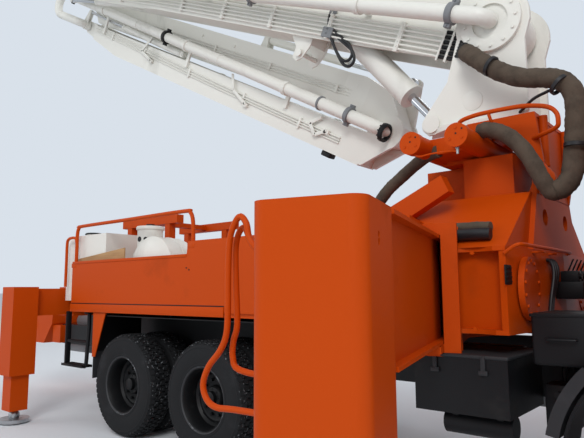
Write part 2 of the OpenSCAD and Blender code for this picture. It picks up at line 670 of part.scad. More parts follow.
// A square post with rounded corners in the middle of its own frame
module post(half, r, z0, z1) {
    block([-half + r, -half, z0], [half - r, half, z1]);
    block([-half, -half + r, z0], [half, half - r, z1]);
    for (x = [-half + r, half - r], y = [-half + r, half - r])
        translate([x, y, z0]) cylinder(r = r, h = z1 - z0);
}
module front_leg() truck() color(orange) arm_frame() {
    root = front_reach - leg_w / 2;
    // The arm's box with its overhanging top and bottom plates
    block([1040, -arm_w / 2 + 55, arm_z[0] + 1], [root + 1, arm_w / 2 - 55, arm_z[1] - 1]);
    for (z = [arm_z[0], arm_z[1] - 22])
        block([1040, -arm_w / 2, z], [root + 1, arm_w / 2, z + 22]);
    translate([front_reach, 0, 0]) difference() {
        post(leg_w / 2, leg_r, 430, arm_z[1]);
        block([-front_jack_half - fit, -front_jack_half - fit, 420],
            [front_jack_half + fit, front_jack_half + fit, arm_z[1] - 50]);
        // Oval slots in the front wall
        for (e = [[50, 1760], [-210, 1560]])
            translate([e[0], leg_w / 2 - 80, e[1]]) rotate([-90, 0, 0]) {
                translate([0, 15, 0]) cylinder(r = 16, h = 100);
                translate([0, -15, 0]) cylinder(r = 16, h = 100);
            }
    }
}
module front_leg_right() front_leg();
module front_leg_left() left_of_right() front_leg();
module front_jack() truck() arm_frame() translate([front_reach, 0, 0]) {
    color(orange) post(front_jack_half, 20, 190, 1300);
    color(grey) {
        translate([0, 0, 120]) sphere(r = 85);
        translate([0, 0, 15]) cylinder(r = 240, h = 50);
    }
}
module front_jack_right() front_jack();
module front_jack_left() left_of_right() front_jack();

// Turret: two cheek plates on the slewing table
turret_low = tower_top + 12;
turret_in = 255;
turret_out = 290;
module turret_plate() difference() {
    union() {
        polygon([[3200, turret_low], [3150, 2960], [3180, 3080], [3400, 3350], [3500, 3700], [3620, 3990],
            [3800, 4080], [3990, 4030], [4100, 3880], [4120, 3720], [4070, 3560], [4070, 2970],
            [4020, turret_low]]);
        translate(low_pin) circle(r = low_pin[1] - turret_low);
        translate(foot) circle(r = 310);
    }
    translate([3620, 3130]) circle(r = 70);
}
module turret() truck() color(cream) {
    translate([slew_x, 0, 2600 + 2 * fit]) cylinder(r = pinion_r, h = turret_low + 1 - 2600);
    difference() {
        translate([slew_x, 0, turret_low]) cylinder(r = 380, h = 45);
        block([slew_x - 400, -150, turret_low - 5], [slew_x - 150, 150, turret_low + 50]);
    }
    mirrored() {
        slab(-turret_out, -turret_in) turret_plate();
        cross_bar(low_pin, 35, -turret_in - 1, -95);
        cross_bar(low_pin, 80, -turret_out - 20, -turret_out + 1);
        difference() {
            cross_bar(foot, 255, -turret_out - 40, -turret_out + 1);
            cross_bar(foot, 150, -turret_out - 50, -turret_out - 18);
        }
        for (a = [0:30:330])
            cross_bar(foot + 215 * [cos(a), sin(a)], 13, -turret_out - 52, -turret_out - 39);
    }
    cross_bar(foot, 70, -turret_out, turret_out);
    block([3980, -256, turret_low + 44], [4010, 256, 3300]);
    block([3560, -256, turret_low + 44], [4011, 256, turret_low + 70]);
}

// Fork or eye end of a cylinder, round a pin across the arm
module eye(p, r, y, half, bore) difference() {
    cross_bar(p, r, y - half, y + half);
    cross_bar(p, bore, y - half - 1, y + half + 1);
}
// Barrel of a cylinder: its frame's x runs from its pin to its rod's eye
module barrel(y, r, rod_r, pin_r, eye_half, length) difference() {
    union() {
        cross_bar([0, 0], pin_r * 2, y - eye_half, y + eye_half);
        block([0, y - eye_half, -pin_r * 1.6], [pin_r * 2 + 12, y + eye_half, pin_r * 1.6]);
        long_bar(pin_r * 2 + 10, length, y, 0, r);
        long_bar(length - 50, length + 10, y, 0, r + 5);
    }
    cross_bar([0, 0], pin_r + fit, y - eye_half - 1, y + eye_half + 1);
    long_bar(pin_r * 2 + 30, length + 20, y, 0, rod_r + fit);
}
// Slim stretch between a rod and its eye, where the lever's plates pass
rod_neck = 52;
// start: how far along from the barrel's pin the rod's inner end lies
module rod(y, rod_r, pin_r, eye_half, start, length) {
    long_bar(start, length - rod_neck, y, 0, rod_r);
    block([length - rod_neck - 1, y - eye_half, -pin_r * 1.2], [length - pin_r * 1.5, y + eye_half, pin_r * 1.2]);
    translate([length, 0, 0]) eye([0, 0], pin_r * 2, y, eye_half, pin_r + 3);
}

module lift_frame() fore_arm(lift_top, lift_fall) children();
module lift_barrel() truck() color(cream) lift_frame() barrel(0, 120, 45, 45, 110, 1350);
module lift_rod() truck() color(steel) lift_frame() {
    long_bar(440, lift_len - 55, 0, 0, 45);
    translate([lift_len, 0, 0]) eye([0, 0], 65, 0, 89, 36);
}

// Folding cylinders: pins in the frame of the arm that holds the barrel
fold2_pin = [5800, -330];
fold2_eye = knee_1 + [0, -230];
fold3_pin = [4700, 110];
fold3_eye = knee_2 + [-60, 594];
fold3_y = 545;
fold4_pin = [3950, -25];
fold4_eye = knee_3 + [-70, 250];
fold4_y = 355;
function slope(p, q) = atan2(q[1] - p[1], q[0] - p[0]);
// Frame along a cylinder whose pins are p and q in the present arm's frame
module along(p, q) translate([p[0], 0, p[1]]) rotate([0, -slope(p, q), 0]) children();

module fold2_frame() back_arm(foot, rise_1) along(fold2_pin, fold2_eye) children();
module fold2_barrel() truck() color(cream) fold2_frame() barrel(0, 58, 32, 28, 45, 1450);
module fold2_rod() truck() color(steel) fold2_frame()
    rod(0, 32, 22, 18, 500, norm(fold2_eye - fold2_pin));
module fold3_frame() fore_arm(pivot_12, fall_2) along(fold3_pin, fold3_eye) children();
module fold3_barrel() truck() color(cream) fold3_frame() barrel(fold3_y, 52, 28, 24, 35, 1450);
module fold3_rod() truck() color(steel) fold3_frame()
    rod(fold3_y, 28, 20, 35, 500, norm(fold3_eye - fold3_pin));
module fold4_frame() back_arm(pivot_23, rise_3) along(fold4_pin, fold4_eye) children();
module fold4_barrel() truck() color(cream) fold4_frame() barrel(fold4_y, 48, 26, 22, 38, 1850);
module fold4_rod() truck() color(steel) fold4_frame()
    rod(fold4_y, 26, 18, 17, 600, norm(fold4_eye - fold4_pin));

module boom_1() truck() color(cream) back_arm(foot, rise_1) {
    difference() {
        union() {
            intersection() {
                slab(-arm1_half, arm1_half) union() {
                    polygon([[0, 215], [1500, 200], [5000, 80], [knee_1[0], -80], [knee_1[0] + 120, -130],
                        [knee_1[0] + 170, -250], [knee_1[0], -420], [6800, -430], [5000, -400],
                        [1700, -380], [300, -340], [0, -215]]);
                    circle(r = 215);
                    translate(knee_1) circle(r = 170);
                }
                plate(-800, 800) polygon([[-400, -arm1_half], [5200, -arm1_half], [5700, -arm1_tip],
                    [8500, -arm1_tip], [8500, arm1_tip], [5700, arm1_tip], [5200, arm1_half],
                    [-400, arm1_half]]);
            }
            cross_bar([0, 0], 150, -turret_in + clear, turret_in - clear);
        }
        cross_bar([0, 0], 70 + fit, -300, 300);
        cross_bar(knee_1, 65 + fit, -200, 200);
        // Slots that the lift and folding cylinders lie in
        block([280, -180, -600], [2060, 180, 10]);
        block([5700, -70, -700], [8500, 70, -145]);
    }
    cross_bar(lift_pin, 45, -181, 181);
    cross_bar(fold2_pin, 28, -71, 71);
}

module boom_2() truck() color(cream) fore_arm(pivot_12, fall_2) {
    difference() {
        intersection() {
            slab(0, band_out) union() {
                polygon([[-90, -90], [-60, 120], [120, 150], [700, 0], [6600, 0], [7000, -90],
                    [7290, -400], [7300, -494], [7040, -540], [6800, -450], [300, -450]]);
                circle(r = 150);
                translate(knee_2) circle(r = 145);
            }
            plate(-800, 300) polygon([[-300, arm2_in], [6300, arm2_in], [6700, nose_in], [7500, nose_in],
                [7500, nose_out], [6800, nose_out], [6650, band_out], [-300, band_out]]);
        }
        cross_bar(knee_2, 55 + fit, 300, 700);
    }
    // Pivot shaft through the first arm's tip, with the fold lever on it
    cross_bar([0, 0], 65, -128, arm2_in + 1);
    cross_bar([0, 0], 90, -150, -126);
    cross_bar([0, 0], 90, -40, 40);
    cross_bar([0, 0], 70, arm1_tip + clear, arm2_in + 1);
    eye_at = -230 * [sin(rise_1 - fall_2), cos(rise_1 - fall_2)];
    for (y = [-40, 25])
        slab(y, y + 15) lever([0, 0], 80, eye_at, 45);
    cross_bar(eye_at, 22, -41, 41);
    // Ears for the next folding cylinder on top
    for (y = [fold3_y - 60, fold3_y + 41])
        slab(y, y + 19) lever(fold3_pin, 50, fold3_pin - [0, 120], 70);
    cross_bar(fold3_pin, 24, fold3_y - 61, fold3_y + 61);
}

module boom_3() truck() color(cream) back_arm(pivot_23, rise_3) {
    difference() {
        union() {
            intersection() {
                slab(band_in, band_out) polygon([[200, -457], [5800, -457], [knee_3[0], -275],
                    [7250, -220], [7270, -150], [7210, -60], [6980, -60], [6800, -87], [200, -87]]);
                plate(-600, 100) polygon([[0, band_in], [6700, band_in], [6850, fold4_y + 65],
                    [7400, fold4_y + 65], [7400, band_out], [0, band_out]]);
            }
            for (y = [band_in, band_out - cheek_t])
                slab(y, y + cheek_t) union() {
                    polygon([[-120, -140], [160, -440], [260, -448], [260, -95], [150, 60]]);
                    circle(r = 190);
                }
        }
        cross_bar(knee_3, 60 + fit, 300, 700);
    }
    cross_bar([0, 0], 55, band_in - 8, band_out + 8);
    // Lever for the folding cylinder on the second arm
    slope_23 = rise_3 - fall_2;
    top = 597 * [sin(5.77 + slope_23), cos(5.77 + slope_23)];
    slab(band_out - cheek_t, band_out) lever([0, 0], 150, top, 55);
    cross_bar(top, 20, fold3_y - 36, band_out - 1);
    // Ear for the last folding cylinder
    slab(fold4_y + 53, fold4_y + 67) lever(fold4_pin, 38, fold4_pin - [0, 90], 60);
    cross_bar(fold4_pin, 22, fold4_y - 45, fold4_y + 54);
}

module boom_4() truck() color(cream) fore_arm(pivot_34, rise_3) {
    slab(arm4_in, arm4_out) union() {
        polygon([[0, 110], [400, 90], [arm4_len - 60, 60], [arm4_len, 20], [arm4_len, -60],
            [arm4_len - 60, -90], [1500, -190], [300, -180], [0, -110]]);
        circle(r = 115);
    }
    cross_bar([0, 0], 60, fold4_y - 20, arm4_in + 1);
    cross_bar([0, 0], 90, fold4_y - 31, fold4_y + 55);
    eye_at = [70, 250];
    for (y = [fold4_y - 32, fold4_y + 20])
        slab(y, y + 12) lever([0, 0], 85, eye_at, 38);
    cross_bar(eye_at, 18, fold4_y - 31, fold4_y + 31);
}

// Clamp that holds the pipe on an arm's side: x along, n across, from the pipe's middle to the web
module clamp(x, y_pipe, n, y_web) {
    difference() {
        translate([x, y_pipe, n]) rotate([0, 90, 0]) cylinder(r = pipe_r + 14, h = 60);
        translate([x - 1, y_pipe, n]) rotate([0, 90, 0]) cylinder(r = pipe_r - 2, h = 62);
    }
    inner = y_web > y_pipe ? y_pipe + pipe_r - 2 : y_web + fit;
    outer = y_web > y_pipe ? y_web - fit : y_pipe - pipe_r + 2;
    block([x, inner, n - 30], [x + 60, outer, n + 30]);
}

pipe1_y = -420;
pipe1_fall = atan2(-knee_1[1], knee_1[0]);
module pipe_1() truck() color(cream) back_arm(foot, rise_1) rotate([0, pipe1_fall, 0]) {
    bend = pipe1_y + turret_out + 42;
    length = norm(knee_1);
    elbow([-bend, pipe1_y - bend, 0], -bend, 180, 90);
    long_bar(-bend, length + bend, pipe1_y, 0, pipe_r);
    elbow([length + bend, pipe1_y - bend, 0], -bend, 270, 90);
    translate([length, pipe1_y - bend, 0]) rotate([-90, 0, 0]) cylinder(r = pipe_r, h = -152 - pipe1_y + bend);
    for (e = [[1300, arm1_half], [3900, arm1_half], [6600, arm1_tip]])
        clamp(e[0], pipe1_y, 0, -e[1]);
}

pipe2_y = 780;
module pipe_2() truck() color(cream) fore_arm(pivot_12, fall_2) {
    bend = pipe2_y - band_out - 2;
    drop_x = 6600;
    elbow([bend, band_out + 2, 0], bend, 90, 90);
    side_bar([bend, 0], [700, -225], pipe2_y, pipe_r);
    side_bar([700, -225], [drop_x, -225], pipe2_y, pipe_r);
    side_bar([drop_x, -225], knee_2 - [bend, 0], pipe2_y, pipe_r);
    for (p = [[700, -225], [drop_x, -225], [bend, 0], knee_2 - [bend, 0]])
        translate([p[0], pipe2_y, p[1]]) sphere(r = pipe_r + 5);
    translate([knee_2[0], 0, knee_2[1]]) {
        elbow([-bend, band_out + 10, 0], bend, 0, 90);
    }
    for (x = [1500, 3800, 6100])
        clamp(x, pipe2_y, -225, band_out);
}

pipe3_y = 215;
module pipe_3() truck() color(cream) back_arm(pivot_23, rise_3) {
    bend = band_in - 10 - pipe3_y;
    over = arm3_len + pipe3_over;
    rotate([0, -pipe3_rise, 0]) {
        elbow([bend, pipe3_y + bend, 0], bend, 180, 90);
        long_bar(bend, over / cos(pipe3_rise) - 12, pipe3_y, 0, pipe_r);
    }
    // Clamps on struts that stand beside the arm's web
    for (x = [1500, 3700, 6300]) {
        rise = x * tan(pipe3_rise);
        clamp(x, pipe3_y, rise, 306);
        block([x, 290, -180], [x + 60, 318, rise + 30]);
        block([x, 317, -180], [x + 60, band_in - fit, -100]);
    }
    // U bend past the arm's end, and the way back to the last pivot
    long_bar(over - 40, over + 30, pipe3_y, pipe3_top, pipe_r + 14);
    translate([over, pipe3_y, pipe3_top - u_bend_r]) rotate([90, 0, 0]) rotate([0, 0, -90])
        rotate_extrude(angle = 180) translate([u_bend_r, 0]) circle(r = pipe_r);
    long_bar(arm3_len + bend, over, pipe3_y, knee_3[1], pipe_r);
    elbow([arm3_len + bend, pipe3_y + bend, knee_3[1]], bend, 180, 90);
}

pipe4_y = 1000;
module pipe_4() truck() color(cream) fore_arm(pivot_34, rise_3) {
    bend = pipe4_y - arm4_out - 2;
    elbow([bend, arm4_out + 2, 0], bend, 90, 90);
    difference() {
        union() {
            long_bar(bend, arm4_len + 40, pipe4_y, 0, pipe_r);
            long_bar(arm4_len + 20, arm4_len + 60, pipe4_y, 0, pipe_r + 18);
        }
        long_bar(arm4_len - 120, arm4_len + 70, pipe4_y, 0, pipe_r - 9);
    }
    for (x = [1200, 3400, 5900])
        clamp(x, pipe4_y, 0, arm4_out);
}

chassis_frame();
engine();
cab_shell();
cab_glass();
cab_interior();
door_right();
door_left();
bumper();
front_axle();
knuckle_right();
knuckle_left();
wheel_front_right();
wheel_front_left();
rear_axles();
wheel_mid_right();
wheel_mid_left();
wheel_rear_right();
wheel_rear_left();
mudguards();
battery_box();
fuel_tank();
deck();
railings();
ladder();
boom_rest();
water_drum();
tail_tank();
pedestal();
slew_cylinders();
pump_unit();
hopper();
grate();
agitator();
rear_leg_beam();
rear_leg_right();
rear_leg_left();
rear_jack_right();
rear_jack_left();
front_leg_right();
front_leg_left();
front_jack_right();
front_jack_left();
turret();
boom_1();
boom_2();
boom_3();
boom_4();
pipe_1();
pipe_2();
pipe_3();
pipe_4();
lift_barrel();
lift_rod();
fold2_barrel();
fold2_rod();
fold3_barrel();
fold3_rod();
fold4_barrel();
fold4_rod();
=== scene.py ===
import math

import bmesh
import bpy
from bpy.props import FloatProperty, FloatVectorProperty, IntProperty, PointerProperty
from mathutils import Matrix, Vector


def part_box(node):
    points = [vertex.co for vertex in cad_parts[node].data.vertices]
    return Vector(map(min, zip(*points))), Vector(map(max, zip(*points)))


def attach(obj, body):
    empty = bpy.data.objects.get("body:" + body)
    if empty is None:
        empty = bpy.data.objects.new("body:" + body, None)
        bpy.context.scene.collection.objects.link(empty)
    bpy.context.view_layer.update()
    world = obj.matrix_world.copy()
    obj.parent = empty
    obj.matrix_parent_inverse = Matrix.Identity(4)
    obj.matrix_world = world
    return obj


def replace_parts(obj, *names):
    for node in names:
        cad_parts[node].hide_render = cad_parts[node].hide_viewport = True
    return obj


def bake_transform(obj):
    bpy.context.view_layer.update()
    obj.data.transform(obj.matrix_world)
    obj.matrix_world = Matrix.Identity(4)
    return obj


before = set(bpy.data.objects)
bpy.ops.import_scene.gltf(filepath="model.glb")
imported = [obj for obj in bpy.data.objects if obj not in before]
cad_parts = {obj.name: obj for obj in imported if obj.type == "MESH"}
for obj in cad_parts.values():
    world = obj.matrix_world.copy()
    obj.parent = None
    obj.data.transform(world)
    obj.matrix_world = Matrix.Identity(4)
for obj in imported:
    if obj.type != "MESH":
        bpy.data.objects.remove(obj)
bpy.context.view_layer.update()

bl_info = {
    "name": "Concrete Pump Truck Looks",
    "version": (2, 0, 0),
    "blender": (4, 5, 0),
    "location": "View3D > Sidebar > Pump Truck",
    "description": "Dresses the packed concrete pump truck and sets up its studio",
    "category": "Object",
}

# Middle of the rear axle in the row frame: carrier places below are measured forward of it
REAR_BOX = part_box("wheel_rear_right")
REAR_X = (REAR_BOX[0].x + REAR_BOX[1].x) / 2
RIGHT = Matrix.Translation((REAR_X, 0, 0))
LEFT = RIGHT @ Matrix.Scale(-1, 4, (0, 1, 0))
SIDES = {"right": RIGHT, "left": LEFT}
# Directions in a side's frame, whose near side is at -y
ACROSS, OUTWARD, AHEAD, UP = (0, 1, 0), (0, -1, 0), (1, 0, 0), (0, 0, 1)


def arm_axes(x, z, slope, back):
    """The frame of a boom arm: along it, across the truck, and square to it upward."""
    c, s = math.cos(math.radians(slope)), math.sin(math.radians(slope))
    along = (-c, 0, s) if back else (c, 0, -s)
    columns = Matrix((along, (0, 1, 0), (s, 0, c))).transposed().to_4x4()
    return RIGHT @ Matrix.Translation((x, 0, z)) @ columns


# Each arm's pin nearer the root and its slope, where the boom stands as in the photograph
ARM_1 = arm_axes(3.81, 3.77, 25.0, True)
ARM_2 = arm_axes(-3.682, 6.988, 27.7, False)
ARM_3 = arm_axes(2.43, 3.221, 28.4, True)


# ---- Colours and materials ----

def linear(hex_colour):
    """Turns a screen colour such as "#d8501a" into the linear values that shaders take."""
    out = []
    for i in (1, 3, 5):
        c = int(hex_colour[i:i + 2], 16) / 255
        out.append(c / 12.92 if c <= 0.04045 else ((c + 0.055) / 1.055) ** 2.4)
    return (*out, 1.0)


def add(tree, kind, inputs=None, **settings):
    """Adds a shader node with its settings, and gives each named input a value or a link."""
    node = tree.nodes.new("ShaderNode" + kind)
    for name, value in settings.items():
        setattr(node, name, value)
    for name, value in (inputs or {}).items():
        if isinstance(value, bpy.types.NodeSocket):
            tree.links.new(value, node.inputs[name])
        else:
            node.inputs[name].default_value = value
    return node


def plain(name, colour, rough, **inputs):
    """A material of one colour; more shader inputs go by name, with underscores for spaces."""
    material = bpy.data.materials.new(name)
    material.use_nodes = True
    shader = material.node_tree.nodes["Principled BSDF"]
    shader.inputs["Base Color"].default_value = linear(colour)
    shader.inputs["Roughness"].default_value = rough
    for key, value in inputs.items():
        shader.inputs[key.replace("_", " ")].default_value = value
    return material


def coated(name, colour, film, rough, patch, share, grain, lift, stretch=(1, 1, 1), **inputs):
    """A coat with patches of film on it. patch and grain are sizes in metres, share is 0 to 0.3."""
    material = plain(name, colour, rough, **inputs)
    tree = material.node_tree
    shader = tree.nodes["Principled BSDF"]
    where = add(tree, "TexCoord").outputs["Object"]
    laid = add(tree, "Mapping", {"Vector": where, "Scale": stretch}).outputs["Vector"]
    patches = add(tree, "TexNoise", {"Vector": laid, "Scale": 1 / patch, "Detail": 7.0, "Roughness": 0.6})
    cover = add(tree, "MapRange", {"Value": patches.outputs["Fac"], "From Min": 0.7 - share, "From Max": 0.78,
                                   "To Max": 0.7})
    tint = add(tree, "Mix", {"Factor": cover.outputs["Result"], "A": linear(colour), "B": linear(film)},
               data_type="RGBA")
    dull = add(tree, "MapRange", {"Value": cover.outputs["Result"], "To Min": rough,
                                  "To Max": min(1, rough + 0.25)})
    fine = add(tree, "TexNoise", {"Vector": laid, "Scale": 1 / grain, "Detail": 3.0})
    bump = add(tree, "Bump", {"Height": fine.outputs["Fac"], "Strength": lift, "Distance": grain / 3})
    tree.links.new(tint.outputs["Result"], shader.inputs["Base Color"])
    tree.links.new(dull.outputs["Result"], shader.inputs["Roughness"])
    tree.links.new(bump.outputs["Normal"], shader.inputs["Normal"])
    return material


def make_materials():
    """Makes every material that the pieces use, keyed by a short name."""
    return {
        # Strong orange of the carrier, legs and pedestal, dulled brownish by road film
        "orange": coated("orange_machine_enamel", "#c24604", "#93380e", 0.48, 0.9, 0.1, 0.012, 0.12,
                         Specular_IOR_Level=0.12),
        # Off-white of the boom and its pipes, with faint grey streaks that run down
        "cream": coated("cream_machine_enamel", "#e6e5dd", "#b3b2a9", 0.45, 0.7, 0.12, 0.012, 0.12,
                        (1, 1, 0.35)),
        # Near-black frame and tanks under a thin brown-grey dust
        "black": coated("black_chassis_paint", "#0f1013", "#2e2c2a", 0.5, 0.35, 0.15, 0.01, 0.15,
                        Specular_IOR_Level=0.3),
        # Charcoal rubber of the side walls, slightly greyed
        "rubber": coated("tyre_rubber", "#1b1c1e", "#36373a", 0.85, 0.3, 0.15, 0.006, 0.3,
                         Specular_IOR_Level=0.3),
        # The same rubber on the crown, where packed snow leaves pale specks about 3 cm long
        "tread": coated("snow_packed_tread_rubber", "#17181a", "#d3d8dd", 0.85, 0.03, 0.105, 0.006, 0.3,
                        (1, 1.6, 1), Specular_IOR_Level=0.3),
        # Mid grey of the pump, tank and couplings with dark oily patches
        "grey": coated("grey_enamel", "#7c7f82", "#4a4946", 0.5, 0.25, 0.15, 0.008, 0.15),
        # Dull dark axles and engine block, rough as cast
        "iron": coated("cast_iron", "#3b3c3e", "#2b2724", 0.65, 0.2, 0.2, 0.004, 0.5, Metallic=0.5),
        # Bright greyish bolts, straps and feet, slightly dull
        "steel": coated("zinc_plated_steel", "#b4b7ba", "#7f8184", 0.38, 0.15, 0.15, 0.003, 0.2,
                        Metallic=1.0),
        # Mirror-like cylinder rods
        "chrome": plain("hard_chrome", "#dcdfe3", 0.12, Metallic=1.0),
        # Dark see-through panes with a clear sheen
        "glass": plain("tinted_safety_glass", "#24303a", 0.05, Alpha=0.5),
        # Matt charcoal mouldings and seals
        "trim": coated("moulded_polypropylene", "#242528", "#3a3b3e", 0.6, 0.2, 0.1, 0.0025, 0.4),
        # Satin black hydraulic hoses
        "hose": plain("hydraulic_hose_rubber", "#15161a", 0.5),
        # Brown-grey woven sleeve: its weave is 3 mm, drawn at 9 mm so that it holds at this distance
        "sleeve": coated("woven_nylon_sleeve", "#54483c", "#2c2620", 0.92, 0.09, 0.25, 0.009, 0.9),
        # Black satin wheel discs with dry dust toward their rims, made darker still with painted shade so the
        # deep dish and hub read as in shadow
        "rim": coated("wheel_enamel_with_painted_shade", "#0b0c0e", "#2c2b2a", 0.5, 0.08, 0.1, 0.006, 0.15,
                      Specular_IOR_Level=0.3),
        # Dark rim flange where pale packed snow and dust catch in patches
        "rim_edge": coated("dusty_rim_flange", "#2d2e31", "#b9bec3", 0.6, 0.14, 0.12, 0.006, 0.2),
        # Pale tan plywood with long grain along its board
        "plywood": coated("birch_plywood", "#b58f63", "#8a6640", 0.75, 0.05, 0.22, 0.01, 0.2, (0.08, 1, 1)),
        # Glossy pale lens over the headlamps
        "lamp": plain("clear_lamp_lens", "#e4e6e2", 0.08, Coat_Weight=0.6),
        # Deep red rear lamp lens
        "red_lamp": plain("red_lamp_lens", "#8e1212", 0.12, Coat_Weight=0.6),
        # Amber turn and roof lamp lens
        "amber_lamp": plain("amber_lamp_lens", "#cf700c", 0.12, Coat_Weight=0.6),
        # Silvered mirror faces
        "mirror": plain("silvered_mirror", "#c9ced3", 0.03, Metallic=1.0),
    }


# Filled by the Finishes operator, so that every piece shares one set
MATERIALS = {}

# The CAD nodes by the material they are given; nodes with pieces in their place are left out
NODE_MATERIAL = {
    "black": ("chassis_frame", "battery_box", "grate"),
    "iron": ("engine", "front_axle", "rear_axles", "knuckle_right", "knuckle_left", "agitator"),
    "orange": ("cab_shell", "bumper", "deck", "boom_rest", "pedestal", "slew_cylinders",
               "hopper", "rear_leg_beam", "rear_leg_right", "rear_leg_left",
               "front_leg_right", "front_leg_left", "door_right", "door_left"),
    "glass": ("cab_glass",),
    "trim": ("cab_interior",),
    "grey": ("fuel_tank", "pump_unit"),
    "chrome": ("lift_rod", "fold2_rod", "fold3_rod", "fold4_rod"),
    "cream": ("tail_tank", "turret", "boom_1", "boom_2", "boom_3", "boom_4",
              "pipe_1", "pipe_2", "pipe_3", "pipe_4", "lift_barrel", "fold2_barrel",
              "fold3_barrel", "fold4_barrel"),
}


# The slot name that a piece of each material keeps, where the piece names no other
SLOTS = {key: slot for slot, keys in {
    "orange_paint": ("orange",),
    "cream_paint": ("cream",),
    "black_paint": ("black", "rim", "rim_edge"),
    "grey_paint": ("grey", "steel"),
    "tyre_rubber": ("rubber", "tread"),
    "cab_trim": ("trim", "hose", "sleeve", "plywood"),
    "glass": ("lamp", "red_lamp", "amber_lamp", "mirror"),
}.items() for key in keys}


# ---- Mesh building ----

def curve_through(points, steps):
    """Places along a smooth curve through the given points."""
    points = [Vector(p) for p in points]
    if steps < 2 or len(points) < 3:
        return points
    ends = [points[0] * 2 - points[1], *points, points[-1] * 2 - points[-2]]
    out = []
    for a, b, c, d in zip(ends, ends[1:], ends[2:], ends[3:]):
        for t in (k / steps for k in range(steps)):
            out.append(0.5 * (2 * b + (c - a) * t + (2 * a - 5 * b + 4 * c - d) * t * t
                              + (3 * b - a - 3 * c + d) * t ** 3))
    return [*out, points[-1]]


def upright(y, pairs):
    """Places in one upright plane along the truck or an arm, from (x, z) pairs."""
    return [(x, y, z) for x, z in pairs]


